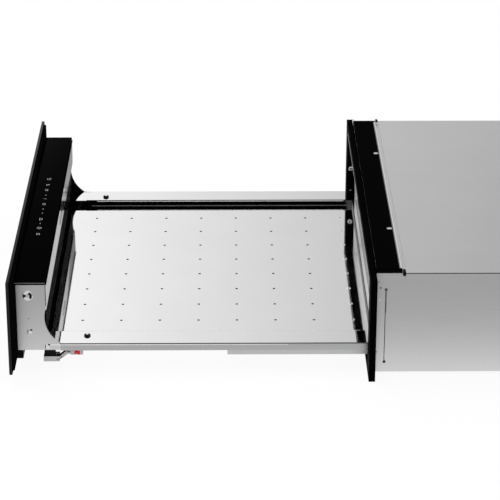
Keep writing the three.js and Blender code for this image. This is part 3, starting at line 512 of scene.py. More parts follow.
def heater_sheath(name, blue, straw):
    """Oxidised steel tube: blue and straw heat colours in slow bands."""
    material, tree, shader, place = finish_base(name, blue, 0.42, metallic=0.8)
    ramp = add(tree, "ShaderNodeValToRGB", {"Fac": noise(tree, place, 28.0, detail=2.0)})
    cold, hot = ramp.color_ramp.elements
    cold.position = 0.35
    cold.color = (*blue, 1)
    hot.position = 0.68
    hot.color = (*straw, 1)
    scale = noise(tree, place, 800.0, detail=3.0)
    link(tree, ramp.outputs["Color"], shader, "Base Color")
    link(tree, spread(tree, scale, 0.34, 0.52), shader, "Roughness")
    bump(tree, shader, scale, strength=0.2, distance=0.00005)
    return material


# Each finish's maker, its material's name and the maker's other values. A text among those names a property.
RECIPES = {
    "cabinet_sheet": (brushed_sheet, "Cabinet sheet", "cabinet", "brushed_roughness", GRAIN_ALONG),
    "cover_sheet": (brushed_sheet, "Cover sheet", "cover", "brushed_roughness", GRAIN_ALONG),
    "box_sheet": (brushed_sheet, "Control box sheet", "box", "brushed_roughness", GRAIN_UPRIGHT),
    "skirt_sheet": (brushed_sheet, "Tray skirt sheet", "skirt", 0.26, GRAIN_ALONG),
    "tray_mirror": (polished_sheet, "Tray mirror", "polished", "polished_roughness"),
    # A darker copy of the tray's mirror on the recess's side walls and bends is painted shade.
    "wall_mirror": (polished_sheet, "Recess wall", (0.10, 0.10, 0.10), "polished_roughness"),
    "bend_mirror": (polished_sheet, "Bend mirror", (0.14, 0.14, 0.142), 0.05),
    # A bright mirror for painted highlights on the trim's rear edge, along the opening and on the tray
    # screws.
    "lip_sheet": (polished_sheet, "Lip sheet", (0.97, 0.97, 0.97), 0.06),
    "upstand_sheet": (polished_sheet, "Upstand sheet", (0.50, 0.50, 0.505), 0.14),
    # The strip's sheet carries painted shade.
    "strip_sheet": (strip_sheet, "Strip sheet", (0.90, 0.90, 0.905), 0.16),
    "liner_sheet": (liner_sheet, "Liner sheet", "liner"),
    "zinc": (zinc_sheet, "Zinc sheet", "zinc"),
    "dark_sheet": (painted_sheet, "Dark sheet", (0.005, 0.005, 0.0052), 0.45, 0.02),
    "frame_paint": (painted_sheet, "Frame paint", "paint", 0.45, 0.0008),
    "matt_black": (painted_sheet, "Matt black", (0.0016, 0.0016, 0.0016), 0.6, 0.0),
    "shaded_black": (painted_sheet, "Shaded black", (0.01, 0.01, 0.0105), 0.25, 0.03),
    # Matt grey painted shade on the rear wall of the tray's recess.
    "end_wall": (painted_sheet, "Recess end wall", (0.27, 0.27, 0.27), 0.6, 0.0),
    "dark_screw": (painted_sheet, "Dark screw", (0.006, 0.006, 0.006), 0.3, 0.2),
    # The cover's dark seams, and painted shade in holes, gaps, slots, notches, sunk rings and on the clips'
    # tops.
    "gap": (painted_sheet, "Punched gap", (0.01, 0.01, 0.01), 0.7, 0.05),
    "control_glass": (black_glass, "Control glass", "glass", 0.05, 0.001),
    "front_glass": (black_glass, "Front glass", (0.003, 0.003, 0.0032), 0.04, 0.5),
    "ground_edge": (ground_glass, "Ground glass edge", (0.016, 0.016, 0.0165)),
    # The side buttons' white, also used for painted highlights on the adjusters, the tabs and the tray's
    # lines.
    "white_plug": (moulded_plastic, "White plug", (0.85, 0.85, 0.85), 0.5, 0.3),
    # Light rims, painted as glints, round the rearmost vent holes.
    "hole_rim": (moulded_plastic, "Hole rim", (0.80, 0.80, 0.80), 0.5, 0.1),
    # Grey lines of dull painted highlight along edges and the tray's creases.
    "light_edge": (moulded_plastic, "Light edge", (0.16, 0.16, 0.162), 0.4, 0.05),
    "black_plastic": (moulded_plastic, "Black plastic", (0.004, 0.004, 0.0042), 0.4, 0.03),
    "backing": (moulded_plastic, "Panel backing", (0.003, 0.003, 0.0031), 0.3, 0.0),
    "grey_plastic": (moulded_plastic, "Grey plastic", (0.5, 0.5, 0.505)),
    "marks": (moulded_plastic, "Printed marks", "marks", 0.6, 0.2),
    "screw": (screw_steel, "Screw steel", (0.78, 0.78, 0.79)),
    "wool": (mineral_wool, "Mineral wool", (0.60, 0.54, 0.38)),
    "board": (circuit_board, "Circuit board", (0.010, 0.085, 0.032)),
    "alloy": (cast_alloy, "Cast alloy", (0.50, 0.51, 0.52)),
    "sheath": (heater_sheath, "Heater sheath", (0.055, 0.058, 0.075), (0.12, 0.085, 0.05)),
}
MADE = {}


def finish(kind):
    """The finish of that name, made once."""
    if kind not in MADE:
        maker, name, *values = RECIPES[kind]
        values = [getattr(finishes(), value) if isinstance(value, str) else value for value in values]
        MADE[kind] = maker(name, *values)
    return MADE[kind]


# ---------------------------------------------------------------- pieces


def put(name, points, faces, materials, smooth=SMOOTH_ANGLE):
    """A mesh object at the origin from an array of points and lists of corners, its doubles merged and its
    faces outward."""
    mesh = bpy.data.meshes.new(name)
    mesh.from_pydata(np.asarray(points, float).reshape(-1, 3).tolist(), [], faces)
    shape = bmesh.new()
    shape.from_mesh(mesh)
    bmesh.ops.remove_doubles(shape, verts=shape.verts, dist=1e-7)
    bmesh.ops.recalc_face_normals(shape, faces=shape.faces)
    shape.to_mesh(mesh)
    shape.free()
    for material in materials:
        mesh.materials.append(material)
    mesh.polygons.foreach_set("use_smooth", np.ones(len(mesh.polygons), bool))
    mesh.set_sharp_from_angle(angle=smooth)
    piece = bpy.data.objects.new(name, mesh)
    bpy.context.scene.collection.objects.link(piece)
    return piece


def carry(piece, body, slot, *nodes):
    """The piece rides on the body and stands for the nodes, which it hides. The slot is not used."""
    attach(piece, body)
    if nodes:
        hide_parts(*nodes)
    return piece


def stand_in(piece, node):
    """The piece stands for the node, on the node's body."""
    return carry(piece, BODY_OF[node], SLOT_OF[node], node)


def numbers(items, field, width):
    """A field of mesh elements as an array with that many numbers to the row."""
    values = np.empty(len(items) * width, np.float32)
    items.foreach_get(field, values)
    return values.reshape(-1, width).astype(float)


def quads(rows, columns, wrap):
    """The corners of a grid's faces, row by row, closed round its columns if it wraps."""
    row, column = np.meshgrid(
        np.arange(rows - 1), np.arange(columns if wrap else columns - 1), indexing="ij"
    )
    after = (column + 1) % columns
    corners = np.stack(
        [
            row * columns + column,
            row * columns + after,
            (row + 1) * columns + after,
            (row + 1) * columns + column,
        ],
        axis=-1,
    )
    return corners.reshape(-1, 4).tolist()


def merged_copy(node, bends):
    """The points and faces of a part with its doubles merged and its flat areas joined, or only those that
    lie across X where some bends are picked."""
    shape = bmesh.new()
    shape.from_mesh(frame["nodes"][node].data)
    bmesh.ops.remove_doubles(shape, verts=shape.verts, dist=1e-6)
    if bends is None:
        bmesh.ops.dissolve_limit(shape, angle_limit=FLAT_ANGLE, verts=shape.verts, edges=shape.edges)
    else:
        shape.normal_update()
        inner = [
            edge for edge in shape.edges
            if len(edge.link_faces) == 2 and min(abs(face.normal.x) for face in edge.link_faces) > 0.99
        ]
        bmesh.ops.dissolve_limit(shape, angle_limit=FLAT_ANGLE, verts=[], edges=inner)
    plain = bpy.data.meshes.new(node + "_merged")
    shape.to_mesh(plain)
    shape.free()
    points = numbers(plain.vertices, "co", 3)
    faces = [tuple(face.vertices) for face in plain.polygons]
    bpy.data.meshes.remove(plain)
    return points, faces


def soften(node, kind, width, segments=2, bends=None):
    """A copy of a part with its cut edges rounded: a Bevel of that width follows every sharp edge. Where
    bends(middles, directions) is given, only the sharp edges that it picks are rounded."""
    points, faces = merged_copy(node, bends)
    piece = put(node + "_piece", points, faces, [finish(kind)])
    bevel = piece.modifiers.new("Rounded edges", "BEVEL")
    bevel.width = width
    bevel.segments = segments
    bevel.harden_normals = True
    bevel.miter_outer = "MITER_ARC"
    bevel.limit_method = "ANGLE"
    bevel.angle_limit = SHARP_ANGLE
    if bends is not None:
        weigh_edges(piece.data, bends)
        bevel.limit_method = "WEIGHT"
    return stand_in(piece, node)


def weigh_edges(mesh, bends):
    """Marks for the Bevel the sharp edges that bends(middles, directions) picks."""
    ends = np.empty(len(mesh.edges) * 2, np.int32)
    mesh.edges.foreach_get("vertices", ends)
    places = numbers(mesh.vertices, "co", 3)
    first, second = places[ends[0::2]], places[ends[1::2]]
    picked = bends((first + second) / 2, second - first) & sharp_edges(mesh)
    weights = mesh.attributes.new("bevel_weight_edge", "FLOAT", "EDGE")
    weights.data.foreach_set("value", picked.astype(np.float32))


def sharp_edges(mesh):
    """True for each edge whose two faces meet at more than the sharp angle."""
    shape = bmesh.new()
    shape.from_mesh(mesh)
    shape.edges.ensure_lookup_table()
    found = np.array([edge.calc_face_angle(0.0) > SHARP_ANGLE for edge in shape.edges])
    shape.free()
    return found


def by_face(piece, kinds, rule):
    """Gives each face the finish that rule(normals, middles) picks: 0 for the piece's own, 1 for the next
    kind and so on."""
    mesh = piece.data
    for kind in kinds:
        mesh.materials.append(finish(kind))
    normals = numbers(mesh.polygons, "normal", 3)
    middles = numbers(mesh.polygons, "center", 3)
    mesh.polygons.foreach_set("material_index", np.asarray(rule(normals, middles), np.int32))
    return piece


def dress(node, kind):
    """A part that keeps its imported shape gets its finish."""
    mesh = frame["nodes"][node].data
    mesh.materials.clear()
    mesh.materials.append(finish(kind))


def turned(name, profile, centre, axis, kind, steps=None):
    """A turned piece: the profile's radius and height, in millimetres, carried round the axis through the
    centre. The point is centre + height * axis + radius * (cos turn * u + sin turn * v)."""
    profile = np.asarray(profile, float) * MM
    steps = steps or sizes().round_steps
    axis = np.asarray(axis, float)
    u = np.cross(axis, (0.0, 0.0, 1.0) if abs(axis[2]) < 0.9 else (0.0, 1.0, 0.0))
    u /= np.linalg.norm(u)
    v = np.cross(axis, u)
    turn = np.linspace(0, 2 * math.pi, steps, endpoint=False)
    ring = np.cos(turn)[:, None] * u + np.sin(turn)[:, None] * v
    points = (
        np.asarray(centre, float)
        + profile[:, 1, None, None] * axis
        + profile[:, 0, None, None] * ring[None]
    )
    return put(name, points, quads(len(profile), steps, True), [finish(kind)])


def turned_grid(name, profile, centres, base, kind, steps=20):
    """One piece of many upright turned rings, one at each centre in X and Y. The profile, in millimetres,
    ends where it starts. The point is centre + radius * (cos turn, sin turn), at the base plus the height."""
    profile = np.asarray(profile, float) * MM
    turn = np.linspace(0, 2 * math.pi, steps, endpoint=False)
    ring = np.stack([np.cos(turn), np.sin(turn)], -1)
    points = np.empty((len(centres), len(profile), steps, 3))
    points[..., :2] = centres[:, None, None] + profile[None, :, None, :1] * ring
    points[..., 2] = base + profile[None, :, None, 1]
    sleeve = np.array(quads(len(profile), steps, True))
    starts = np.arange(len(centres)) * len(profile) * steps
    faces = (sleeve[None] + starts[:, None, None]).reshape(-1, 4)
    return put(name, points, faces.tolist(), [finish(kind)])


def round_plate(name, low, high, thin, corner, edge, kinds, steps=6):
    """A plate with rounded corners and a rounded rim, thin along one axis. Its rings step up the rim: the
    inset is edge * (1 - sin rise) and the height is edge * (1 - cos rise), mirrored at the other face. Round
    each ring the point is a corner's centre plus (corner - inset) along the turn. The rim has the last
    material."""
    axes = [axis for axis in range(3) if axis != thin]
    half = (high - low)[axes] / 2
    middle = (high + low)[axes] / 2
    thickness = (high - low)[thin]
    rise = np.linspace(0, math.pi / 2, steps)
    inset = edge * (1 - np.sin(rise))
    height = edge * (1 - np.cos(rise))
    inset = np.concatenate([inset, inset[::-1]])
    height = np.concatenate([height, thickness - height[::-1]])
    turn = (np.arange(4)[:, None] * math.pi / 2 + rise[None]).ravel()
    signs = np.repeat(np.array([(1, 1), (-1, 1), (-1, -1), (1, -1)], float), steps, axis=0)
    centres = signs * (half - corner)
    reach = (corner - inset)[:, None, None] * np.stack([np.cos(turn), np.sin(turn)], -1)[None]
    rings = np.empty((len(inset), len(turn), 3))
    rings[..., axes] = middle + centres[None] + reach
    rings[..., thin] = low[thin] + height[:, None]
    count = len(turn)
    faces = quads(len(inset), count, True)
    rim = len(faces)
    last = (len(inset) - 1) * count
    faces += [list(range(count))[::-1], list(range(last, last + count))]
    piece = put(name, rings, faces, [finish(kind) for kind in kinds], RIM_ANGLE)
    index = np.zeros(len(piece.data.polygons), np.int32)
    index[:rim] = len(kinds) - 1
    piece.data.polygons.foreach_set("material_index", index)
    return piece


def stroke(path, width, top, bottom, closed=False):
    """The points and faces of a flat line: a box section carried along a path in X and Y. The section's
    corners are the path plus and minus half the width along its normal, at the top and at the bottom."""
    if closed:
        way = np.roll(path, -1, 0) - np.roll(path, 1, 0)
    else:
        way = np.gradient(path, axis=0)
    way /= np.linalg.norm(way, axis=1, keepdims=True)
    normal = np.stack([-way[:, 1], way[:, 0]], -1) * width / 2
    section = [(1, top), (-1, top), (-1, bottom), (1, bottom)]
    points = np.stack(
        [
            np.concatenate([path + side * normal, np.full((len(path), 1), level)], 1)
            for side, level in section
        ],
        axis=1,
    )
    faces = quads(len(path), 4, True)
    last = (len(path) - 1) * 4
    if closed:
        faces += [[last + k, last + (k + 1) % 4, (k + 1) % 4, k] for k in range(4)]
    else:
        faces += [[0, 1, 2, 3], [last + 3, last + 2, last + 1, last]]
    return points.reshape(-1, 3), faces


def arc(centre, radius, start, end, count, flatten):
    """Points on an arc, flattened in Y: the centre plus the radius along the turn, which is in degrees."""
    turn = np.radians(np.linspace(start, end, count))
    return np.stack(
        [centre[0] + radius * np.cos(turn), centre[1] + radius * flatten * np.sin(turn)], -1
    )


def gather(name, lots, kind):
    """One piece from several lots of points and faces."""
    points, faces, count = [], [], 0
    for lot, corners in lots:
        points.append(lot)
        faces += [[corner + count for corner in face] for face in corners]
        count += len(lot)
    return put(name, np.concatenate(points), faces, [finish(kind)])


def block_lot(low, high):
    """The points and faces of a small block: the eight mixes of its lowest and highest corners."""
    pick = np.array([[i >> 2 & 1, i >> 1 & 1, i & 1] for i in range(8)])
    points = np.where(pick == 0, np.asarray(low, float), np.asarray(high, float))
    faces = [[0, 1, 3, 2], [4, 6, 7, 5], [0, 4, 5, 1], [2, 3, 7, 6], [0, 2, 6, 4], [1, 5, 7, 3]]
    return points, faces


def side_lot(sign, across, along, upright):
    """A small block on one side: two distances from the middle plane, two places along Y and two heights."""
    near, far = sorted((sign * across[0], sign * across[1]))
    return block_lot((near, along[0], upright[0]), (far, along[1], upright[1]))


def corners_of(node):
    low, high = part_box(node)
    return np.array(low), np.array(high)


def middle_of(node):
    low, high = corners_of(node)
    return (low + high) / 2


def span_of(node):
    """The distances of a side part's inner and outer face from the middle plane."""
    low, high = corners_of(node)
    return sorted((abs(low[0]), abs(high[0])))


class WARMING_OT_front_panel(Operator):
    """Make the front glass with its ground edge, its backing and the bracket behind it"""

    bl_idname = "warming_drawer.front_panel"
    bl_label = "Front panel"
    bl_options = {"REGISTER", "UNDO"}

    def execute(self, context):
        look = sizes()
        low, high = corners_of("front_glass")
        glass = round_plate(
            "front_glass_panel", low, high, DEPTH, look.glass_corner, look.glass_edge,
            ("front_glass", "ground_edge"),
        )

        def sides(normals, middles):
            """0 on the front face, 1 on the rim and 2 on the painted rear face."""
            rearward = normals[:, 1]
            return np.select([rearward > 0.5, np.abs(rearward) < 0.999], [2, 1], 0)

        by_face(glass, ("backing",), sides)
        stand_in(glass, "front_glass")
        low, high = corners_of("panel_backing")
        board_corner = look.glass_corner * 1.5
        board_edge = 0.0004
        board = round_plate(
            "panel_backing_board", low, high, DEPTH, board_corner, board_edge, ("backing",)
        )
        stand_in(board, "panel_backing")
        soften("panel_bracket", "dark_sheet", look.sheet_edge)
        return {"FINISHED"}


class WARMING_OT_touch_control(Operator):
    """Make the control glass, the plain marks printed on it, its painted highlight edges and its seal"""

    bl_idname = "warming_drawer.touch_control"
    bl_label = "Touch control"
    bl_options = {"REGISTER", "UNDO"}

    def execute(self, context):
        low, high = corners_of("control_glass")
        corner, edge = 0.0011, 0.0004
        glass = round_plate(
            "control_glass_panel", low, high, HEIGHT, corner, edge, ("control_glass", "matt_black")
        )
        stand_in(glass, "control_glass")
        self.marks(high)
        self.edges(low, high)
        self.seal(low, high)
        return {"FINISHED"}

    def marks(self, high):
        """The marks as flat lines. Each is placed by its middle in millimetres along the row, and its points
        are in the marks' own unit."""
        row = high[1] - sizes().mark_row
        unit = 0.78 * MM
        proud, sunk = 0.00005, 0.00002
        top, bottom = high[2] + proud, high[2] - sunk

        def mark(x, path, closed=False):
            """A flat line along the path, carried to its place on the row."""
            path = np.asarray(path, float) * unit + (x * MM, row)
            return stroke(path, sizes().mark_width, top, bottom, closed)

        def line(x, points):
            """A straight or broken line, in four steps to the stretch."""
            points = np.asarray(points, float)
            corners = np.arange(len(points))
            steps = np.linspace(0, corners[-1], corners[-1] * 4 + 1)
            return mark(x, np.stack([np.interp(steps, corners, points[:, k]) for k in range(2)], -1))

        def curve(x, centre, radius, start, end, flatten=1.0):
            """An arc between two turns in degrees, closed to a ring where they are 360 apart."""
            count = 24
            closed = end - start >= 360
            last = end - 360 / count if closed else end
            return mark(x, arc(centre, radius, start, last, count, flatten), closed)

        lots = [
            curve(-93, (0, 0), 3.4, 125, 415),
            line(-93, [(0, 1.2), (0, 4.4)]),
            line(-70, [(-4, -2), (4, -2)]),
            line(-70, [(-4, 0.4), (2, 0.4)]),
            line(-70, [(-4, 2.8), (0, 2.8)]),
            curve(-51, (0, 1), 3.6, 180, 360, 1.1),
            line(-51, [(-3.8, 1.4), (3.8, 1.4)]),
            line(-32, [(-2.4, 0), (2.4, 0)]),
            line(-18, [(0, -3), (0, 3)]),
            curve(1, (0, 0), 3.6, 0, 360, 0.7),
            line(19, [(-2.4, 0), (2.4, 0)]),
            curve(34, (0, 0), 0.6, 0, 360),
            curve(55, (0, -1.6), 4.2, 0, 180, 0.9),
            line(55, [(-5, -2.4), (5, -2.4)]),
            line(70, [(-2.4, 0), (2.4, 0)]),
            curve(86, (0, 0), 3.7, 0, 360),
            line(86, [(0, 2.2), (0, 0), (1.8, 0)]),
            line(107, [(-3.6, -2.4), (3.6, -2.4)]),
            line(107, [(-3.6, 0), (3.6, 0)]),
            line(107, [(-3.6, 2.4), (3.6, 2.4)]),
        ]
        carry(gather("control_marks", lots, "marks"), "drawer", SLOT_OF["control_glass"])

    def edges(self, low, high):
        """A painted highlight: a light line along the ground edge at each end of the control glass."""
        sunk, proud, inset = 0.0005, 0.00004, 0.0006
        bottom, top = high[2] - 0.0024, high[2] - 0.0014
        for side, sign in SIDES:
            lot = side_lot(
                sign,
                (high[0] - sunk, high[0] + proud),
                (low[1] + inset, high[1] - inset),
                (bottom, top),
            )
            edge = gather(f"control_edge_{side}", [lot], "light_edge")
            carry(edge, "drawer", SLOT_OF["control_glass"])

    def seal(self, low, high):
        """A dark seal under the rear edge of the control glass."""
        inset, gap, width = 0.0015, 0.00005, 0.0010
        bottom, top = low[2] - 0.0010, low[2] + 0.0002
        lot = block_lot(
            (low[0] + inset, high[1] + gap, bottom), (high[0] - inset, high[1] + width, top)
        )
        carry(gather("control_seal", [lot], "matt_black"), "drawer", "black_plastic")


class WARMING_OT_control_box(Operator):
    """Make the control box: side plates with adjusters and punched tabs, rear strip, louvres and floor"""

    bl_idname = "warming_drawer.control_box"
    bl_label = "Control box"
    bl_options = {"REGISTER", "UNDO"}

    tab_places = ((0.0163, 0.0256), (0.0383, 0.0046))  # behind and above a plate's lower front corner
    rivet_place = (0.0159, 0.0441)

    def execute(self, context):
        look = sizes()
        soften("box_rear_strip", "strip_sheet", look.sheet_edge)
        louvre_edge, tip_depth = 0.0002, 0.001
        louvres = soften("louvre_panel", "matt_black", louvre_edge)
        tips = corners_of("louvre_panel")[1][1] - tip_depth
        by_face(
            louvres, ("shaded_black",),
            lambda normals, middles: (normals[:, 1] > 0.9) & (middles[:, 1] > tips),
        )
        self.key_slot()
        soften("box_floor", "dark_sheet", look.sheet_edge)
        for side, sign in SIDES:
            plate = soften(f"box_side_{side}", "box_sheet", look.sheet_edge)
            # The plates' inner faces are matt black as painted shade.
            by_face(plate, ("matt_black",), lambda normals, middles: normals[:, 0] * sign < -0.5)
            skin = span_of(f"box_side_{side}")[1]
            self.adjuster(side, sign, skin)
            self.joint(side, sign, skin)
            self.tabs(side, sign, skin)
        return {"FINISHED"}

    def key_slot(self):
        """Painted shade round a slot in the rear strip: a dark bar above and below, and a dark post at each
        end.
        """
        face = corners_of("box_rear_strip")[1][1]
        left, right, bottom, top = -0.034, 0.010, 0.0914, 0.0984
        post, bar, sunk, proud = 0.0030, 0.0016, 0.0002, 0.00006
        back, front = face - sunk, face + proud
        outline = [
            block_lot((left + post, back, top - bar), (right - post, front, top)),
            block_lot((left + post, back, bottom), (right - post, front, bottom + bar)),
            block_lot((left, back, bottom + bar), (left + post, front, top - bar)),
            block_lot((right - post, back, bottom + bar), (right, front, top - bar)),
        ]
        carry(gather("key_slot", outline, "matt_black"), "drawer", "dark_sheet")

    def adjuster(self, side, sign, skin):
        """A round head with a sunk ring, and the collar round it that stands proud of the side plate. Both
        carry painted shade and painted highlights.
        """
        node = f"front_adjuster_{side}"
        _, y, z = middle_of(node)
        root, face = span_of(node)
        stem = (root - face) / MM
        profile = [
            (0, stem), (3.7, stem), (3.7, -1.75), (6, -1.6), (6, -0.35), (5.75, -0.06), (5.3, 0),
            (4.9, -0.08), (4.5, -0.75), (2.7, -0.95), (2.5, -0.3), (2.2, -0.2), (0, -0.2),
        ]
        head = turned(f"adjuster_{side}", profile, (sign * face, y, z), (sign, 0, 0), "screw")

        def shade_and_glints(normals, middles):
            """1, dark painted shade, in the sunk ring for a turn towards the rear and a turn towards the
            front. 2, white painted highlight, for the turns upwards and downwards between them, out to the
            rim."""
            inner, outer = 0.0030, 0.0056
            across, up = middles[:, 1] - y, middles[:, 2] - z
            reach, turn = np.hypot(across, up), np.degrees(np.arctan2(up, across))
            ring = reach > inner
            rearward, forward = np.abs(turn - 10) < 60, np.abs(turn) > 155
            downward, upward = np.abs(turn + 95) < 45, np.abs(turn - 110) < 40
            dark = ring & (reach < outer) & (rearward | forward)
            return np.select([dark, ring & (downward | upward)], [1, 2], 0)

        by_face(head, ("gap", "white_plug"), shade_and_glints)
        rim = [(5.7, -0.3), (6.9, -0.3), (6.8, 0.4), (6.3, 0.6), (5.7, 0.5), (5.7, -0.3)]
        collar = turned(f"adjuster_collar_{side}", rim, (sign * skin, y, z), (sign, 0, 0), "screw")
        # The collar's white below and above the middle is painted highlight.
        light_below, light_above = z - 0.0010, z + 0.0045
        by_face(
            collar, ("white_plug",),
            lambda normals, middles: (middles[:, 2] < light_below) | (middles[:, 2] > light_above),
        )
        carry(collar, "drawer", "screw_steel")
        stand_in(head, node)

    def joint(self, side, sign, skin):
        """A painted shadow along the side plate's rear edge, where the rear strip meets it, above the
        plate's bite.
        """
        high = corners_of("box_rear_strip")[1]
        sunk, proud, width = 0.0004, 0.00006, 0.0008
        bottom, top = high[2] - 0.029, high[2] - 0.0004
        lot = side_lot(
            sign, (skin - sunk, skin + proud), (high[1] - width, high[1] + proud), (bottom, top)
        )
        carry(gather(f"box_joint_{side}", [lot], "matt_black"), "drawer", "dark_sheet")

    def tabs(self, side, sign, skin):
        """Two punched tabs, white as painted highlight, each with dark painted shade in the gap beside it and
        above it, and a rivet on a side plate.
        """
        corner = corners_of(f"box_side_{side}")[0]
        half, sunk, proud, edge = 0.0021, 0.0002, 0.00006, 0.0002
        lift, lean, drop = 0.0014, 0.0004, 0.0002
        flat = (skin - sunk, skin + proud)
        bright, dark = [], []
        for back, rise in self.tab_places:
            y, z = corner[1] + back, corner[2] + rise
            points, faces = side_lot(
                sign, (skin - sunk, skin + lift), (y - half, y + half), (z - half, z + half)
            )
            lifted = (points[:, 2] > z) & (np.abs(points[:, 0]) > skin)
            points[:, 0] -= lifted * sign * lean
            points[:, 2] -= lifted * drop
            bright.append((points, faces))
            # Dark blocks beside and above each tab are painted shade.
            dark.append(side_lot(sign, flat, (y - 0.0032, y - 0.0023), (z - 0.0026, z + 0.0032)))
            dark.append(side_lot(sign, flat, (y + 0.0004, y + 0.0030), (z + 0.0018, z + 0.0040)))
        # The tabs' white is painted highlight.
        tabs = gather(f"punched_tabs_{side}", bright, "white_plug")
        bevel = tabs.modifiers.new("Rounded edges", "BEVEL")
        bevel.width = edge
        bevel.segments = 2
        carry(tabs, "drawer", "brushed_sheet")
        carry(gather(f"punched_gaps_{side}", dark, "gap"), "drawer", "dark_sheet")
        place = (sign * skin, corner[1] + self.rivet_place[0], corner[2] + self.rivet_place[1])
        profile = [(0, -0.3), (1.4, -0.3), (1.4, 0.1), (1.0, 0.3), (0, 0.4)]
        rivet = turned(f"side_rivet_{side}", profile, place, (sign, 0, 0), "box_sheet", 24)
        carry(rivet, "drawer", "brushed_sheet")


class WARMING_OT_tray(Operator):
    """Make the polished tray with its bends, its painted highlight lines and painted shade, its rear upstand
    and its screws
    """

    bl_idname = "warming_drawer.tray"
    bl_label = "Tray"
    bl_options = {"REGISTER", "UNDO"}

    recess_depth = 0.008  # from the top of the tray to the floor of its recess

    def execute(self, context):
        low, high = corners_of("tray")
        self.sheet(high)
        self.holes(high)
        wall = span_of("drawer_runner_right")[0] - 0.0026
        self.lines(low, high, wall)
        self.shade(low, high, wall)
        upstand_edge, screw_edge = 0.0003, 0.00015
        soften("tray_rear_upstand", "upstand_sheet", upstand_edge)
        for side, _ in SIDES:
            soften(f"tray_screw_{side}", "dark_screw", screw_edge)
            self.screw_cross(side)
        return {"FINISHED"}

    def sheet(self, high):
        """The tray's sheet, with bends along the top of the recess and of the skirts."""

        def bends(middles, ways):
            """The long edges at the top that run along X or along Y."""
            shortest = 0.003
            upper = np.abs(middles[:, 2] - high[2]) < 1e-5
            straight = np.min(np.abs(ways[:, :2]), axis=1) < 1e-6
            return upper & straight & (np.linalg.norm(ways, axis=1) > shortest)

        def walls(normals, middles):
            """1 on the skirts' outer faces, 2 on the recess's side walls, a darker mirror as painted shade,
            and 4 on its rear wall, a matt grey painted shade.
            """
            upright = np.abs(normals[:, 0]) > 0.9
            from_side = high[0] - np.abs(middles[:, 0])
            from_rear = high[1] - middles[:, 1]
            outside, inside = from_side < 0.0005, from_side > 0.03
            rear_wall = (normals[:, 1] < -0.9) & (from_rear > 0.01) & (from_rear < 0.025)
            return np.select([upright & outside, upright & inside, rear_wall], [1, 2, 4], 0)

        tray = soften("tray", "tray_mirror", sizes().bend, 3, bends)
        by_face(tray, ("skirt_sheet", "wall_mirror", "bend_mirror", "end_wall"), walls)
        # The rounded bends get the darker mirror, which is painted shade.
        bevel = tray.modifiers[0]
        bevel.use_clamp_overlap = False
        bevel.material = 3

    def holes(self, high):
        """Dark sleeves in the eight rows of eight vent holes, as painted shade, and light rims round those of
        the rearmost row, as painted glints. Heights are from the floor of the recess."""
        count, pitch_across, pitch_along, first_row = 8, 0.0502, 0.051, 0.0395
        across = (np.arange(count) - (count - 1) / 2) * pitch_across
        along = high[1] - first_row - pitch_along * np.arange(count)
        floor = high[2] - self.recess_depth
        centres = np.stack(np.meshgrid(across, along, indexing="ij"), -1).reshape(-1, 2)
        sleeve = [
            (1.46, 0.07), (1.46, -1.9), (1.9, -1.9), (1.9, -1.04), (1.50, -1.04),
            (1.50, 0.01), (1.8, 0.01), (1.8, 0.07), (1.46, 0.07),
        ]
        # The dark sleeves are painted shade inside the holes.
        shaded_sleeves = turned_grid("tray_eyelets", sleeve, centres, floor, "gap")
        carry(shaded_sleeves, "drawer", "dark_sheet")
        # Light rims round the rearmost holes; their light colour is a painted glint.
        rim = [(1.5, -0.05), (1.5, 0.12), (2.7, 0.12), (3.1, -0.05), (1.5, -0.05)]
        rearmost = np.stack([across, np.full(count, along[0])], -1)
        rims = turned_grid("tray_hole_rims", rim, rearmost, floor, "hole_rim")
        carry(rims, "drawer", SLOT_OF["tray"])

    def lines(self, low, high, wall):
        """Thin strips of painted highlight in the tray's bends: a bright line along each skirt that tapers at
        its rear end, and a bright line and a dull grey line at the crease along each side wall of the recess."""
        front, rear, top = low[1], high[1], high[2]
        sunk, skirt_proud, wall_proud, taper = 0.0004, 0.00004, 0.00008, 0.0008
        skirt_skin = (high[0] - sunk, high[0] + skirt_proud)
        wall_skin = (wall - wall_proud, wall + sunk)
        skirt_end, skirt_heights = rear - 0.127, (top - 0.0024, top - 0.0011)
        roll_ends, roll_heights = (front + 0.0423, rear - 0.0320), (top - 0.0013, top - 0.0002)
        crease_ends, crease_heights = (front + 0.0343, rear - 0.0230), (top - 0.0081, top - 0.0073)
        for side, sign in SIDES:
            points, faces = side_lot(sign, skirt_skin, (front + 0.002, skirt_end), skirt_heights)
            rear_top = (points[:, 1] > skirt_end - MM) & (points[:, 2] > np.mean(skirt_heights))
            points[:, 2] -= rear_top * taper
            roll = side_lot(sign, wall_skin, roll_ends, roll_heights)
            crease = side_lot(sign, wall_skin, crease_ends, crease_heights)
            # Each strip is a painted highlight.
            for name, lot, kind in (
                ("skirt_line", (points, faces), "white_plug"),
                ("recess_line", roll, "white_plug"),
                ("recess_crease", crease, "light_edge"),
            ):
                carry(gather(f"{name}_{side}", [lot], kind), "drawer", SLOT_OF["tray"])

    def shade(self, low, high, wall):
        """A dark strip along the bend at the top of the recess's left wall."""
        sunk, proud = 0.0004, 0.00005
        across = (wall + 0.0004, wall + 0.0031)
        along = (low[1] + 0.0263, high[1] - 0.0192)
        left = SIDES[0][1]
        lot = side_lot(left, across, along, (high[2] - sunk, high[2] + proud))
        carry(gather("recess_shade", [lot], "matt_black"), "drawer", SLOT_OF["tray"])

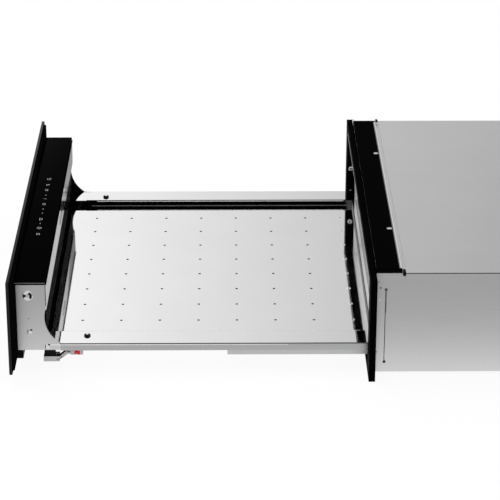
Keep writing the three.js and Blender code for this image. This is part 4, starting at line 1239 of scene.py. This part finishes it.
    def screw_cross(self, side):
        """A painted glint on a tray screw: a bright cross of a wide bar and a narrow one."""
        x, y, _ = middle_of(f"tray_screw_{side}")
        top = corners_of(f"tray_screw_{side}")[1][2]
        sunk = 0.0006
        bottom = top - sunk
        cross = [
            block_lot((x - half, y - reach, bottom), (x + half, y + reach, top + proud))
            for half, reach, proud in ((0.0024, 0.0006, 0.00006), (0.0009, 0.0021, 0.00004))
        ]
        carry(gather(f"tray_screw_cross_{side}", cross, "lip_sheet"), "drawer", "screw_steel")


class WARMING_OT_runners(Operator):
    """Make the three members of the telescopic runners on each side"""

    bl_idname = "warming_drawer.runners"
    bl_label = "Runners"
    bl_options = {"REGISTER", "UNDO"}

    def execute(self, context):
        edge = 0.0003
        for side, _ in SIDES:
            for member in ("cabinet", "middle", "drawer"):
                soften(f"{member}_runner_{side}", "zinc", edge)
        return {"FINISHED"}


class WARMING_OT_clips(Operator):
    """Make the clips under the tray and their release levers"""

    bl_idname = "warming_drawer.clips"
    bl_label = "Clips and levers"
    bl_options = {"REGISTER", "UNDO"}

    def execute(self, context):
        look = finishes()
        low, high = corners_of("release_lever_right")
        tab_front, tab_back = high[1] - 0.01098, high[1] - 0.00378
        MADE["lever"] = lever_plastic("Lever plastic", look.lever, look.tab, tab_front, tab_back)
        arm_start = low[1] + 0.01582
        clip_shoulder = corners_of("slide_clip_right")[0][2] + 0.0095
        clip_edge, lever_edge = 0.0004, 0.0005
        hole_place = (span_of("release_lever_right")[1] - 0.0029, low[1] + 0.00662, low[2] + 0.0034)
        for side, sign in SIDES:
            clip = soften(f"slide_clip_{side}", "grey_plastic", clip_edge)
            # The clip's upward faces and its part above the shoulder are dark as painted shade under the
            # tray.
            by_face(
                clip, ("gap",),
                lambda normals, middles: (normals[:, 2] > 0.5) | (middles[:, 2] > clip_shoulder),
            )
            node = f"release_lever_{side}"
            lever = soften(node, "lever", lever_edge, 3)
            by_face(
                lever, ("matt_black",),
                lambda normals, middles: (normals[:, 2] > 0.3) & (middles[:, 1] < arm_start),
            )
            place = (sign * hole_place[0], *hole_place[1:])
            # The hole is a matt black disc of painted shade.
            profile = [(0, -0.4), (0.9, -0.4), (0.9, 0.05), (0, 0.05)]
            hole = turned(f"lever_hole_{side}", profile, place, (sign, 0, 0), "matt_black", 20)
            carry(hole, BODY_OF[node], "dark_sheet")
        return {"FINISHED"}


class WARMING_OT_front_frame(Operator):
    """Make the black frame round the opening, with its bead and its corners as painted highlights, its jamb
    screws and pins
    """

    bl_idname = "warming_drawer.front_frame"
    bl_label = "Front frame"
    bl_options = {"REGISTER", "UNDO"}

    stile = 0.032  # from the frame's end to the opening
    lintel = 0.0115  # from the frame's top to the opening
    pin_height = 0.038  # from the frame's foot to the pins

    def execute(self, context):
        soften("front_frame", "frame_paint", sizes().frame_edge, 3)
        low, high = corners_of("front_frame")
        half, head = high[0] - self.stile, high[2] - self.lintel
        proud, depth, height = 0.00002, 0.0009, 0.0010
        # A bright strip along the top of the opening, dark below, is a painted highlight.
        lot = block_lot((-half, low[1] - proud, head - proud), (half, low[1] + depth, head + height))
        bead = gather("opening_bead", [lot], "lip_sheet")
        by_face(bead, ("matt_black",), lambda normals, middles: normals[:, 2] < -0.5)
        carry(bead, "cabinet", "brushed_sheet")
        # Grey lines along the frame's top corners are painted highlights.
        inset, width, sunk = 0.001, 0.0008, 0.00005
        for side, sign in SIDES:
            lot = side_lot(
                sign,
                (high[0] - width, high[0] - sunk),
                (low[1] + inset, high[1] - inset),
                (high[2] - width, high[2] - sunk),
            )
            carry(gather(f"frame_corner_{side}", [lot], "light_edge"), "cabinet", SLOT_OF["front_frame"])
        screw_edge = 0.00015
        profile = [(0, -0.4), (1.5, -0.4), (1.5, 0.2), (1.0, 0.5), (0, 0.6)]
        for side, sign in SIDES:
            soften(f"jamb_screw_{side}", "screw", screw_edge)
            place = (sign * half, middle_of(f"jamb_screw_{side}")[1], low[2] + self.pin_height)
            pin = turned(f"jamb_pin_{side}", profile, place, (-sign, 0, 0), "screw", 24)
            carry(pin, "cabinet", "screw_steel")
        return {"FINISHED"}


class WARMING_OT_cabinet(Operator):
    """Make the cabinet's cover and sides with their fittings, and finish its base, back and partition"""

    bl_idname = "warming_drawer.cabinet"
    bl_label = "Cabinet"
    bl_options = {"REGISTER", "UNDO"}

    button_places = ((0.0129, 0.1018), (0.0115, 0.0276))  # behind the frame's front face, and up

    def execute(self, context):
        cover = soften("top_cover", "cover_sheet", sizes().sheet_edge)
        # The cover's forward faces are matt black as painted shade behind the frame.
        by_face(
            cover, ("cabinet_sheet", "matt_black"),
            lambda normals, middles: np.where(normals[:, 1] < -0.5, 2, np.abs(normals[:, 0]) > 0.7),
        )
        dress("base_pan", "liner_sheet")
        dress("back_panel", "zinc")
        dress("rear_partition", "liner_sheet")
        for side, sign in SIDES:
            soften(f"body_side_{side}", "cabinet_sheet", sizes().sheet_edge)
            skin = span_of(f"body_side_{side}")[1]
            self.buttons(side, sign, skin)
            self.slot_lip(side, sign, skin)
            self.seam(side, sign)
        return {"FINISHED"}

    def buttons(self, side, sign, skin):
        """Two white buttons, and a notch near the front edge of a side, dark as painted shade."""
        front = corners_of("front_frame")[0][1]
        profile = [(0, -0.4), (1.5, -0.4), (1.5, 0.3), (1.2, 0.8), (0.5, 1.1), (0, 1.15)]
        for index, (back, z) in enumerate(self.button_places):
            place = (sign * skin, front + back, z)
            name = f"side_button_{side}_{index + 1}"
            button = turned(name, profile, place, (sign, 0, 0), "white_plug", 28)
            carry(button, "cabinet", "screw_steel")
        # The dark notch is painted shade.
        sunk, proud = 0.0002, 0.00008
        along, upright = (front + 0.0122, front + 0.0152), (0.1172, 0.1184)
        lot = side_lot(sign, (skin - sunk, skin + proud), along, upright)
        carry(gather(f"side_notch_{side}", [lot], "gap"), "cabinet", "dark_sheet")

    def slot_lip(self, side, sign, skin):
        """A lip behind the skin that narrows the lower part of the long slot."""
        slot = corners_of(f"body_side_{side}")[0][1] + 0.0125
        behind, width, overlap = 0.0010, 0.0009, 0.0001
        across, along = (skin - behind, skin - overlap), (slot - overlap, slot + width)
        upright = (0.0165, 0.083)
        lip = gather(f"slot_lip_{side}", [side_lot(sign, across, along, upright)], "cabinet_sheet")
        carry(lip, "cabinet", SLOT_OF[f"body_side_{side}"])

    def seam(self, side, sign):
        """The dark seam along the bend of the cover, from the trim clip to the rear."""
        high = corners_of("top_cover")[1]
        sunk, proud, gap, inset = 0.0003, 0.00006, 0.0003, 0.001
        start = corners_of(f"trim_clip_{side}")[1][1] + gap
        bottom, top = high[2] - 0.0016, high[2] - 0.0006
        lot = side_lot(
            sign, (high[0] - sunk, high[0] + proud), (start, high[1] - inset), (bottom, top)
        )
        carry(gather(f"cover_seam_{side}", [lot], "gap"), "cabinet", "dark_sheet")


class WARMING_OT_top_trim(Operator):
    """Make the black trim plate behind the frame, with its screws and clips"""

    bl_idname = "warming_drawer.top_trim"
    bl_label = "Top trim"
    bl_options = {"REGISTER", "UNDO"}

    def execute(self, context):
        trim_edge = 0.0003
        plate = soften("top_trim", "frame_paint", trim_edge)
        low, high = corners_of("top_trim")

        def lip(normals, middles):
            """1 along the top of the plate's rear edge, but not on a face that looks forward. That bright
            mirror is a painted highlight.
            """
            height, width = 0.0007, 0.0026
            at_top, at_rear = middles[:, 2] > high[2] - height, middles[:, 1] > high[1] - width
            return at_top & at_rear & (normals[:, 1] > -0.5)

        by_face(plate, ("lip_sheet",), lip)
        # A grey strip along the plate's rear edge is a dull painted highlight.
        inset, front, rear = 0.001, high[1] - 0.0034, high[1] - 0.0023
        bottom, top = high[2] - 0.0012, high[2] - 0.0004
        highlight_strip = block_lot((low[0] + inset, front, bottom), (high[0] - inset, rear, top))
        carry(gather("trim_groove", [highlight_strip], "light_edge"), "cabinet", SLOT_OF["top_trim"])
        for side, sign in SIDES:
            self.clip(side, sign)
            self.skirt(side, sign)
            self.screw(side)
        return {"FINISHED"}

    def clip(self, side, sign):
        """A clip that holds the trim: a tongue that lies on the cover and a higher head at its outer end."""
        node = f"trim_clip_{side}"
        low, high = corners_of(node)
        root, reach = span_of(node)
        head_width, step, sunk = 0.008, 0.0012, 0.0003
        head = reach - head_width
        along = (low[1], high[1])
        cover = corners_of("top_cover")[1][2]
        lots = [
            side_lot(sign, (root, head), along, (cover - sunk, high[2] - step)),
            side_lot(sign, (head, reach), along, (low[2], high[2])),
        ]
        clip = gather(f"trim_clip_piece_{side}", lots, "black_plastic")
        tongue = head - 0.1 * MM
        by_face(
            clip, ("cover_sheet",),
            lambda normals, middles: (np.abs(middles[:, 0]) < tongue) & (normals[:, 2] > -0.5),
        )
        stand_in(clip, node)

    def skirt(self, side, sign):
        """A black filler between the end of the trim plate and the edge of the cover."""
        low, high = corners_of("top_trim")
        cover = corners_of("top_cover")[1]
        gap, inset, sunk, proud = 0.00005, 0.0002, 0.0005, 0.0002
        lot = side_lot(
            sign,
            (high[0] + gap, cover[0] - inset),
            (low[1], high[1] - inset),
            (cover[2] - sunk, cover[2] + proud),
        )
        carry(gather(f"trim_skirt_{side}", [lot], "frame_paint"), "cabinet", SLOT_OF["top_trim"])

    def screw(self, side):
        """A domed screw with a slot, a dark block of painted shade. The dome's profile is a flattened arc
        from its rim to its top.
        """
        node = f"trim_screw_{side}"
        low, high = corners_of(node)
        x, y, _ = middle_of(node)
        radius = (high[0] - low[0]) / 2
        sunk, crown_gap = 0.0008, 0.00008
        base = corners_of("top_trim")[1][2] - sunk
        rise = high[2] - crown_gap - base
        root = low[2] - base
        lean = np.linspace(math.pi / 2, 0, 12)
        dome = np.stack([radius * np.sin(lean), rise * np.cos(lean)], -1)
        shank = [(0, root), (radius * 0.5, root), (radius * 0.5, 0)]
        profile = np.concatenate([shank, dome]) / MM
        head = turned(f"trim_screw_head_{side}", profile, (x, y, base), (0, 0, 1), "screw")
        stand_in(head, node)
        # The slot is a dark block of painted shade.
        half, reach = 0.0010, radius * 0.85
        bottom, top = high[2] - 0.0011, high[2] - 0.00002
        lot = block_lot((x - half, y - reach, bottom), (x + half, y + reach, top))
        carry(gather(f"trim_screw_slot_{side}", [lot], "gap"), "cabinet", "dark_sheet")


class WARMING_OT_lining(Operator):
    """Finish the cavity's liners and the insulation behind them"""

    bl_idname = "warming_drawer.lining"
    bl_label = "Cavity lining"
    bl_options = {"REGISTER", "UNDO"}

    def execute(self, context):
        dress("ceiling_liner", "liner_sheet")
        dress("ceiling_insulation", "wool")
        for side, _ in SIDES:
            dress(f"side_liner_{side}", "liner_sheet")
            dress(f"side_insulation_{side}", "wool")
        return {"FINISHED"}


class WARMING_OT_fan_heater(Operator):
    """Finish the fan, the heater, the guard, the sensors and the supply"""

    bl_idname = "warming_drawer.fan_heater"
    bl_label = "Fan heater and supply"
    bl_options = {"REGISTER", "UNDO"}

    def execute(self, context):
        for node, kind in (
            ("fan_guard", "zinc"),
            ("fan_impeller", "alloy"),
            ("fan_motor", "dark_sheet"),
            ("heater_element", "sheath"),
            ("heater_flange", "zinc"),
            ("temperature_probe", "screw"),
            ("overheat_thermostat", "black_plastic"),
            ("cable_gland", "black_plastic"),
            ("terminal_block", "grey_plastic"),
        ):
            dress(node, kind)
        return {"FINISHED"}


class WARMING_OT_latch(Operator):
    """Make the push latch and its striker"""

    bl_idname = "warming_drawer.latch"
    bl_label = "Push latch"
    bl_options = {"REGISTER", "UNDO"}

    def execute(self, context):
        body_edge, plunger_edge, striker_edge = 0.0005, 0.0004, 0.0003
        soften("latch_body", "grey_plastic", body_edge)
        soften("latch_plunger", "black_plastic", plunger_edge)
        soften("latch_striker", "zinc", striker_edge)
        return {"FINISHED"}


class WARMING_OT_electronics(Operator):
    """Finish the circuit boards and the transformer in the control box"""

    bl_idname = "warming_drawer.electronics"
    bl_label = "Electronics"
    bl_options = {"REGISTER", "UNDO"}

    def execute(self, context):
        dress("touch_board", "board")
        dress("power_board", "board")
        dress("transformer", "dark_sheet")
        return {"FINISHED"}


class WARMING_OT_studio(Operator):
    """Make the pale floor, the light all round, the lamps and the camera"""

    bl_idname = "warming_drawer.studio"
    bl_label = "Studio"
    bl_options = {"REGISTER", "UNDO"}

    floor_gap = 0.0006  # below the lowest point of the object
    floor_reach = 9.0

    def execute(self, context):
        bpy.context.scene.view_settings.view_transform = "Standard"
        self.floor()
        self.world()
        self.lamp()
        self.cavity_lamp()
        self.camera()
        return {"FINISHED"}

    def floor(self):
        """A flat sheet just under the frame's lower edge. The camera sees it almost plain white with a share
        of its own shading. So do reflections, but there its white falls off to the right of the object."""
        level = CAD_BOX[0][2] - self.floor_gap
        corners = np.array([(-1, -1, 0), (1, -1, 0), (1, 1, 0), (-1, 1, 0)]) * self.floor_reach
        mesh = bpy.data.meshes.new("studio_floor")
        mesh.from_pydata((corners + (0, 0, level)).tolist(), [], [[0, 1, 2, 3]])
        floor = bpy.data.objects.new("studio_floor", mesh)
        bpy.context.scene.collection.objects.link(floor)
        material, tree, shader, place = finish_base("Pale floor", studio().floor, 0.9, specular=0.0)
        path = add(tree, "ShaderNodeLightPath")
        along = add(tree, "ShaderNodeSeparateXYZ", {"Vector": place}).outputs["X"]
        falloff = spread(tree, along, 1.0, 0.46, start=0.24, end=0.50, kind="SMOOTHSTEP")
        seen = combine(tree, path.outputs["Is Camera Ray"], path.outputs["Is Transmission Ray"], "MAXIMUM")
        glow = add(
            tree, "ShaderNodeEmission", {"Color": (1, 1, 1, 1), "Strength": mix(tree, seen, falloff, 1.0)}
        )
        white_share = 0.92
        sharp = combine(tree, seen, path.outputs["Is Glossy Ray"], "MAXIMUM")
        both = add(
            tree, "ShaderNodeMixShader",
            {
                0: combine(tree, sharp, white_share, "MULTIPLY"),
                1: shader.outputs["BSDF"],
                2: glow.outputs["Emission"],
            },
        )
        tree.links.new(both.outputs[0], tree.nodes["Material Output"].inputs["Surface"])
        mesh.materials.append(material)

    def world(self):
        """White to the camera and even to matt surfaces. Glossy ones see, by the way that they look, a
        backdrop on the left that falls off towards the rear, with a dark band above it and one on each side
        of it, an even brightness all round, and a dark patch high up on the right."""
        world = bpy.data.worlds.new("Studio light")
        bpy.context.scene.world = world
        world.use_nodes = True
        tree = world.node_tree
        tree.nodes.clear()
        path = add(tree, "ShaderNodeLightPath")
        way = add(tree, "ShaderNodeTexCoord").outputs["Generated"]
        parts = add(tree, "ShaderNodeSeparateXYZ", {"Vector": way})
        x, y, z = parts.outputs["X"], parts.outputs["Y"], parts.outputs["Z"]
        aside = add(tree, "ShaderNodeMath", {0: y}, operation="ABSOLUTE").outputs[0]

        def smooth(value, low, high, start, end):
            return spread(tree, value, low, high, start, end, "SMOOTHSTEP")

        def brighter(first, second):
            return combine(tree, first, second, "MAXIMUM")

        def product(first, second):
            return combine(tree, first, second, "MULTIPLY")

        backdrop = brighter(
            spread(tree, y, 0.98, 0.60, start=-0.085, end=0.065),
            spread(tree, y, 0.0, 0.85, start=0.26, end=0.42),
        )
        beside = brighter(
            smooth(aside, 1.0, 0.05, start=0.15, end=0.26), smooth(aside, 0.0, 1.0, start=0.34, end=0.42)
        )
        below = smooth(z, 1.0, 0.05, start=0.52, end=0.62)
        above = smooth(z, 0.0, 1.0, start=0.80, end=0.88)
        bands = product(brighter(below, above), brighter(beside, above))
        leftward = spread(tree, x, 1.0, 0.0, start=-0.6, end=-0.2)
        all_round = 0.8
        bright = mix(tree, leftward, all_round, product(backdrop, bands))
        dark_way = Vector((0.92, 0.0, 0.39)).normalized()
        near = add(
            tree, "ShaderNodeVectorMath", {0: way, 1: tuple(dark_way)}, operation="DOT_PRODUCT"
        ).outputs["Value"]
        glossy = product(bright, smooth(near, 1.0, 0.004, start=0.80, end=0.95))
        even = mix(tree, path.outputs["Is Glossy Ray"], studio().soft_light, glossy)
        seen = mix(tree, path.outputs["Is Camera Ray"], even, 1.0)
        sky = add(tree, "ShaderNodeBackground", {"Color": (1, 1, 1, 1), "Strength": seen})
        out = add(tree, "ShaderNodeOutputWorld")
        tree.links.new(sky.outputs[0], out.inputs["Surface"])

    def area_light(self, name, power, place, aim):
        """An area light at the place, turned along the aim and left out of reflections."""
        light = bpy.data.lights.new(name, "AREA")
        light.energy = power
        lamp = bpy.data.objects.new(name, light)
        lamp.location = place
        lamp.rotation_euler = Vector(aim).to_track_quat("-Z", "Y").to_euler()
        lamp.visible_glossy = False
        bpy.context.scene.collection.objects.link(lamp)
        return lamp

    def lamp(self):
        """A large soft lamp above the front."""
        place = np.array([-0.3, -1.2, 2.4])
        target = np.array([0.0, -0.25, 0.05])
        lamp = self.area_light("Overhead softbox", studio().overhead, place, target - place)
        lamp.data.shape = "DISK"
        lamp.data.size = 2.6

    def cavity_lamp(self):
        """A long lamp low behind the opening, aimed up and forward at the lining's front, and not seen."""
        lamp = self.area_light("Cavity light", studio().cavity_light, (0.0, -0.165, 0.052), (0.0, -0.8, 0.6))
        lamp.data.shape = "RECTANGLE"
        lamp.data.size = 0.50
        lamp.data.size_y = 0.09
        lamp.visible_camera = False

    def camera(self):
        """The camera's axes: forward from its pitch and yaw, right = forward x up, and both turned by the
        roll."""
        look = studio()
        pitch, yaw, roll = look.camera_pitch, look.camera_yaw, look.camera_roll
        forward = np.array([
            -math.cos(pitch) * math.cos(yaw), -math.cos(pitch) * math.sin(yaw), -math.sin(pitch)
        ])
        right = np.cross(forward, (0, 0, 1))
        right /= np.linalg.norm(right)
        up = np.cross(right, forward)
        data = bpy.data.cameras.new("Camera")
        data.lens = look.lens
        data.sensor_width = 36.0
        data.clip_start = 0.05
        data.clip_end = 40.0
        matrix = np.eye(4)
        matrix[:3, 0] = right * math.cos(roll) + up * math.sin(roll)
        matrix[:3, 1] = -right * math.sin(roll) + up * math.cos(roll)
        matrix[:3, 2] = -forward
        matrix[:3, 3] = look.camera_place
        camera = bpy.data.objects.new("Camera", data)
        camera.matrix_world = Matrix(matrix.tolist())
        bpy.context.scene.collection.objects.link(camera)
        bpy.context.scene.camera = camera


OPERATORS = (
    WARMING_OT_front_panel,
    WARMING_OT_touch_control,
    WARMING_OT_control_box,
    WARMING_OT_tray,
    WARMING_OT_runners,
    WARMING_OT_clips,
    WARMING_OT_front_frame,
    WARMING_OT_cabinet,
    WARMING_OT_top_trim,
    WARMING_OT_lining,
    WARMING_OT_fan_heater,
    WARMING_OT_latch,
    WARMING_OT_electronics,
    WARMING_OT_studio,
)


class WARMING_PT_panel(Panel):
    """Lists the pieces of the warming drawer"""

    bl_idname = "WARMING_PT_panel"
    bl_label = "Warming Drawer"
    bl_space_type = "VIEW_3D"
    bl_region_type = "UI"
    bl_category = "Warming Drawer"

    def draw(self, context):
        layout = self.layout
        for group in (sizes(), finishes(), studio()):
            column = layout.column(align=True)
            for name in group.__annotations__:
                column.prop(group, name)
        column = layout.column(align=True)
        for operator in OPERATORS:
            column.operator(operator.bl_idname)


CLASSES = (DrawerSizes, DrawerFinishes, StudioSettings, *OPERATORS, WARMING_PT_panel)


def register():
    for cls in CLASSES:
        bpy.utils.register_class(cls)
    bpy.types.Scene.warming_drawer_sizes = PointerProperty(type=DrawerSizes)
    bpy.types.Scene.warming_drawer_finishes = PointerProperty(type=DrawerFinishes)
    bpy.types.Scene.warming_drawer_studio = PointerProperty(type=StudioSettings)


def unregister():
    del bpy.types.Scene.warming_drawer_studio
    del bpy.types.Scene.warming_drawer_finishes
    del bpy.types.Scene.warming_drawer_sizes
    for cls in reversed(CLASSES):
        bpy.utils.unregister_class(cls)


def main():
    """Make every piece and the studio."""
    register()
    for operator in OPERATORS:
        group, name = operator.bl_idname.split(".")
        getattr(getattr(bpy.ops, group), name)()
    bpy.context.view_layer.update()


if __name__ == "__main__":
    main()
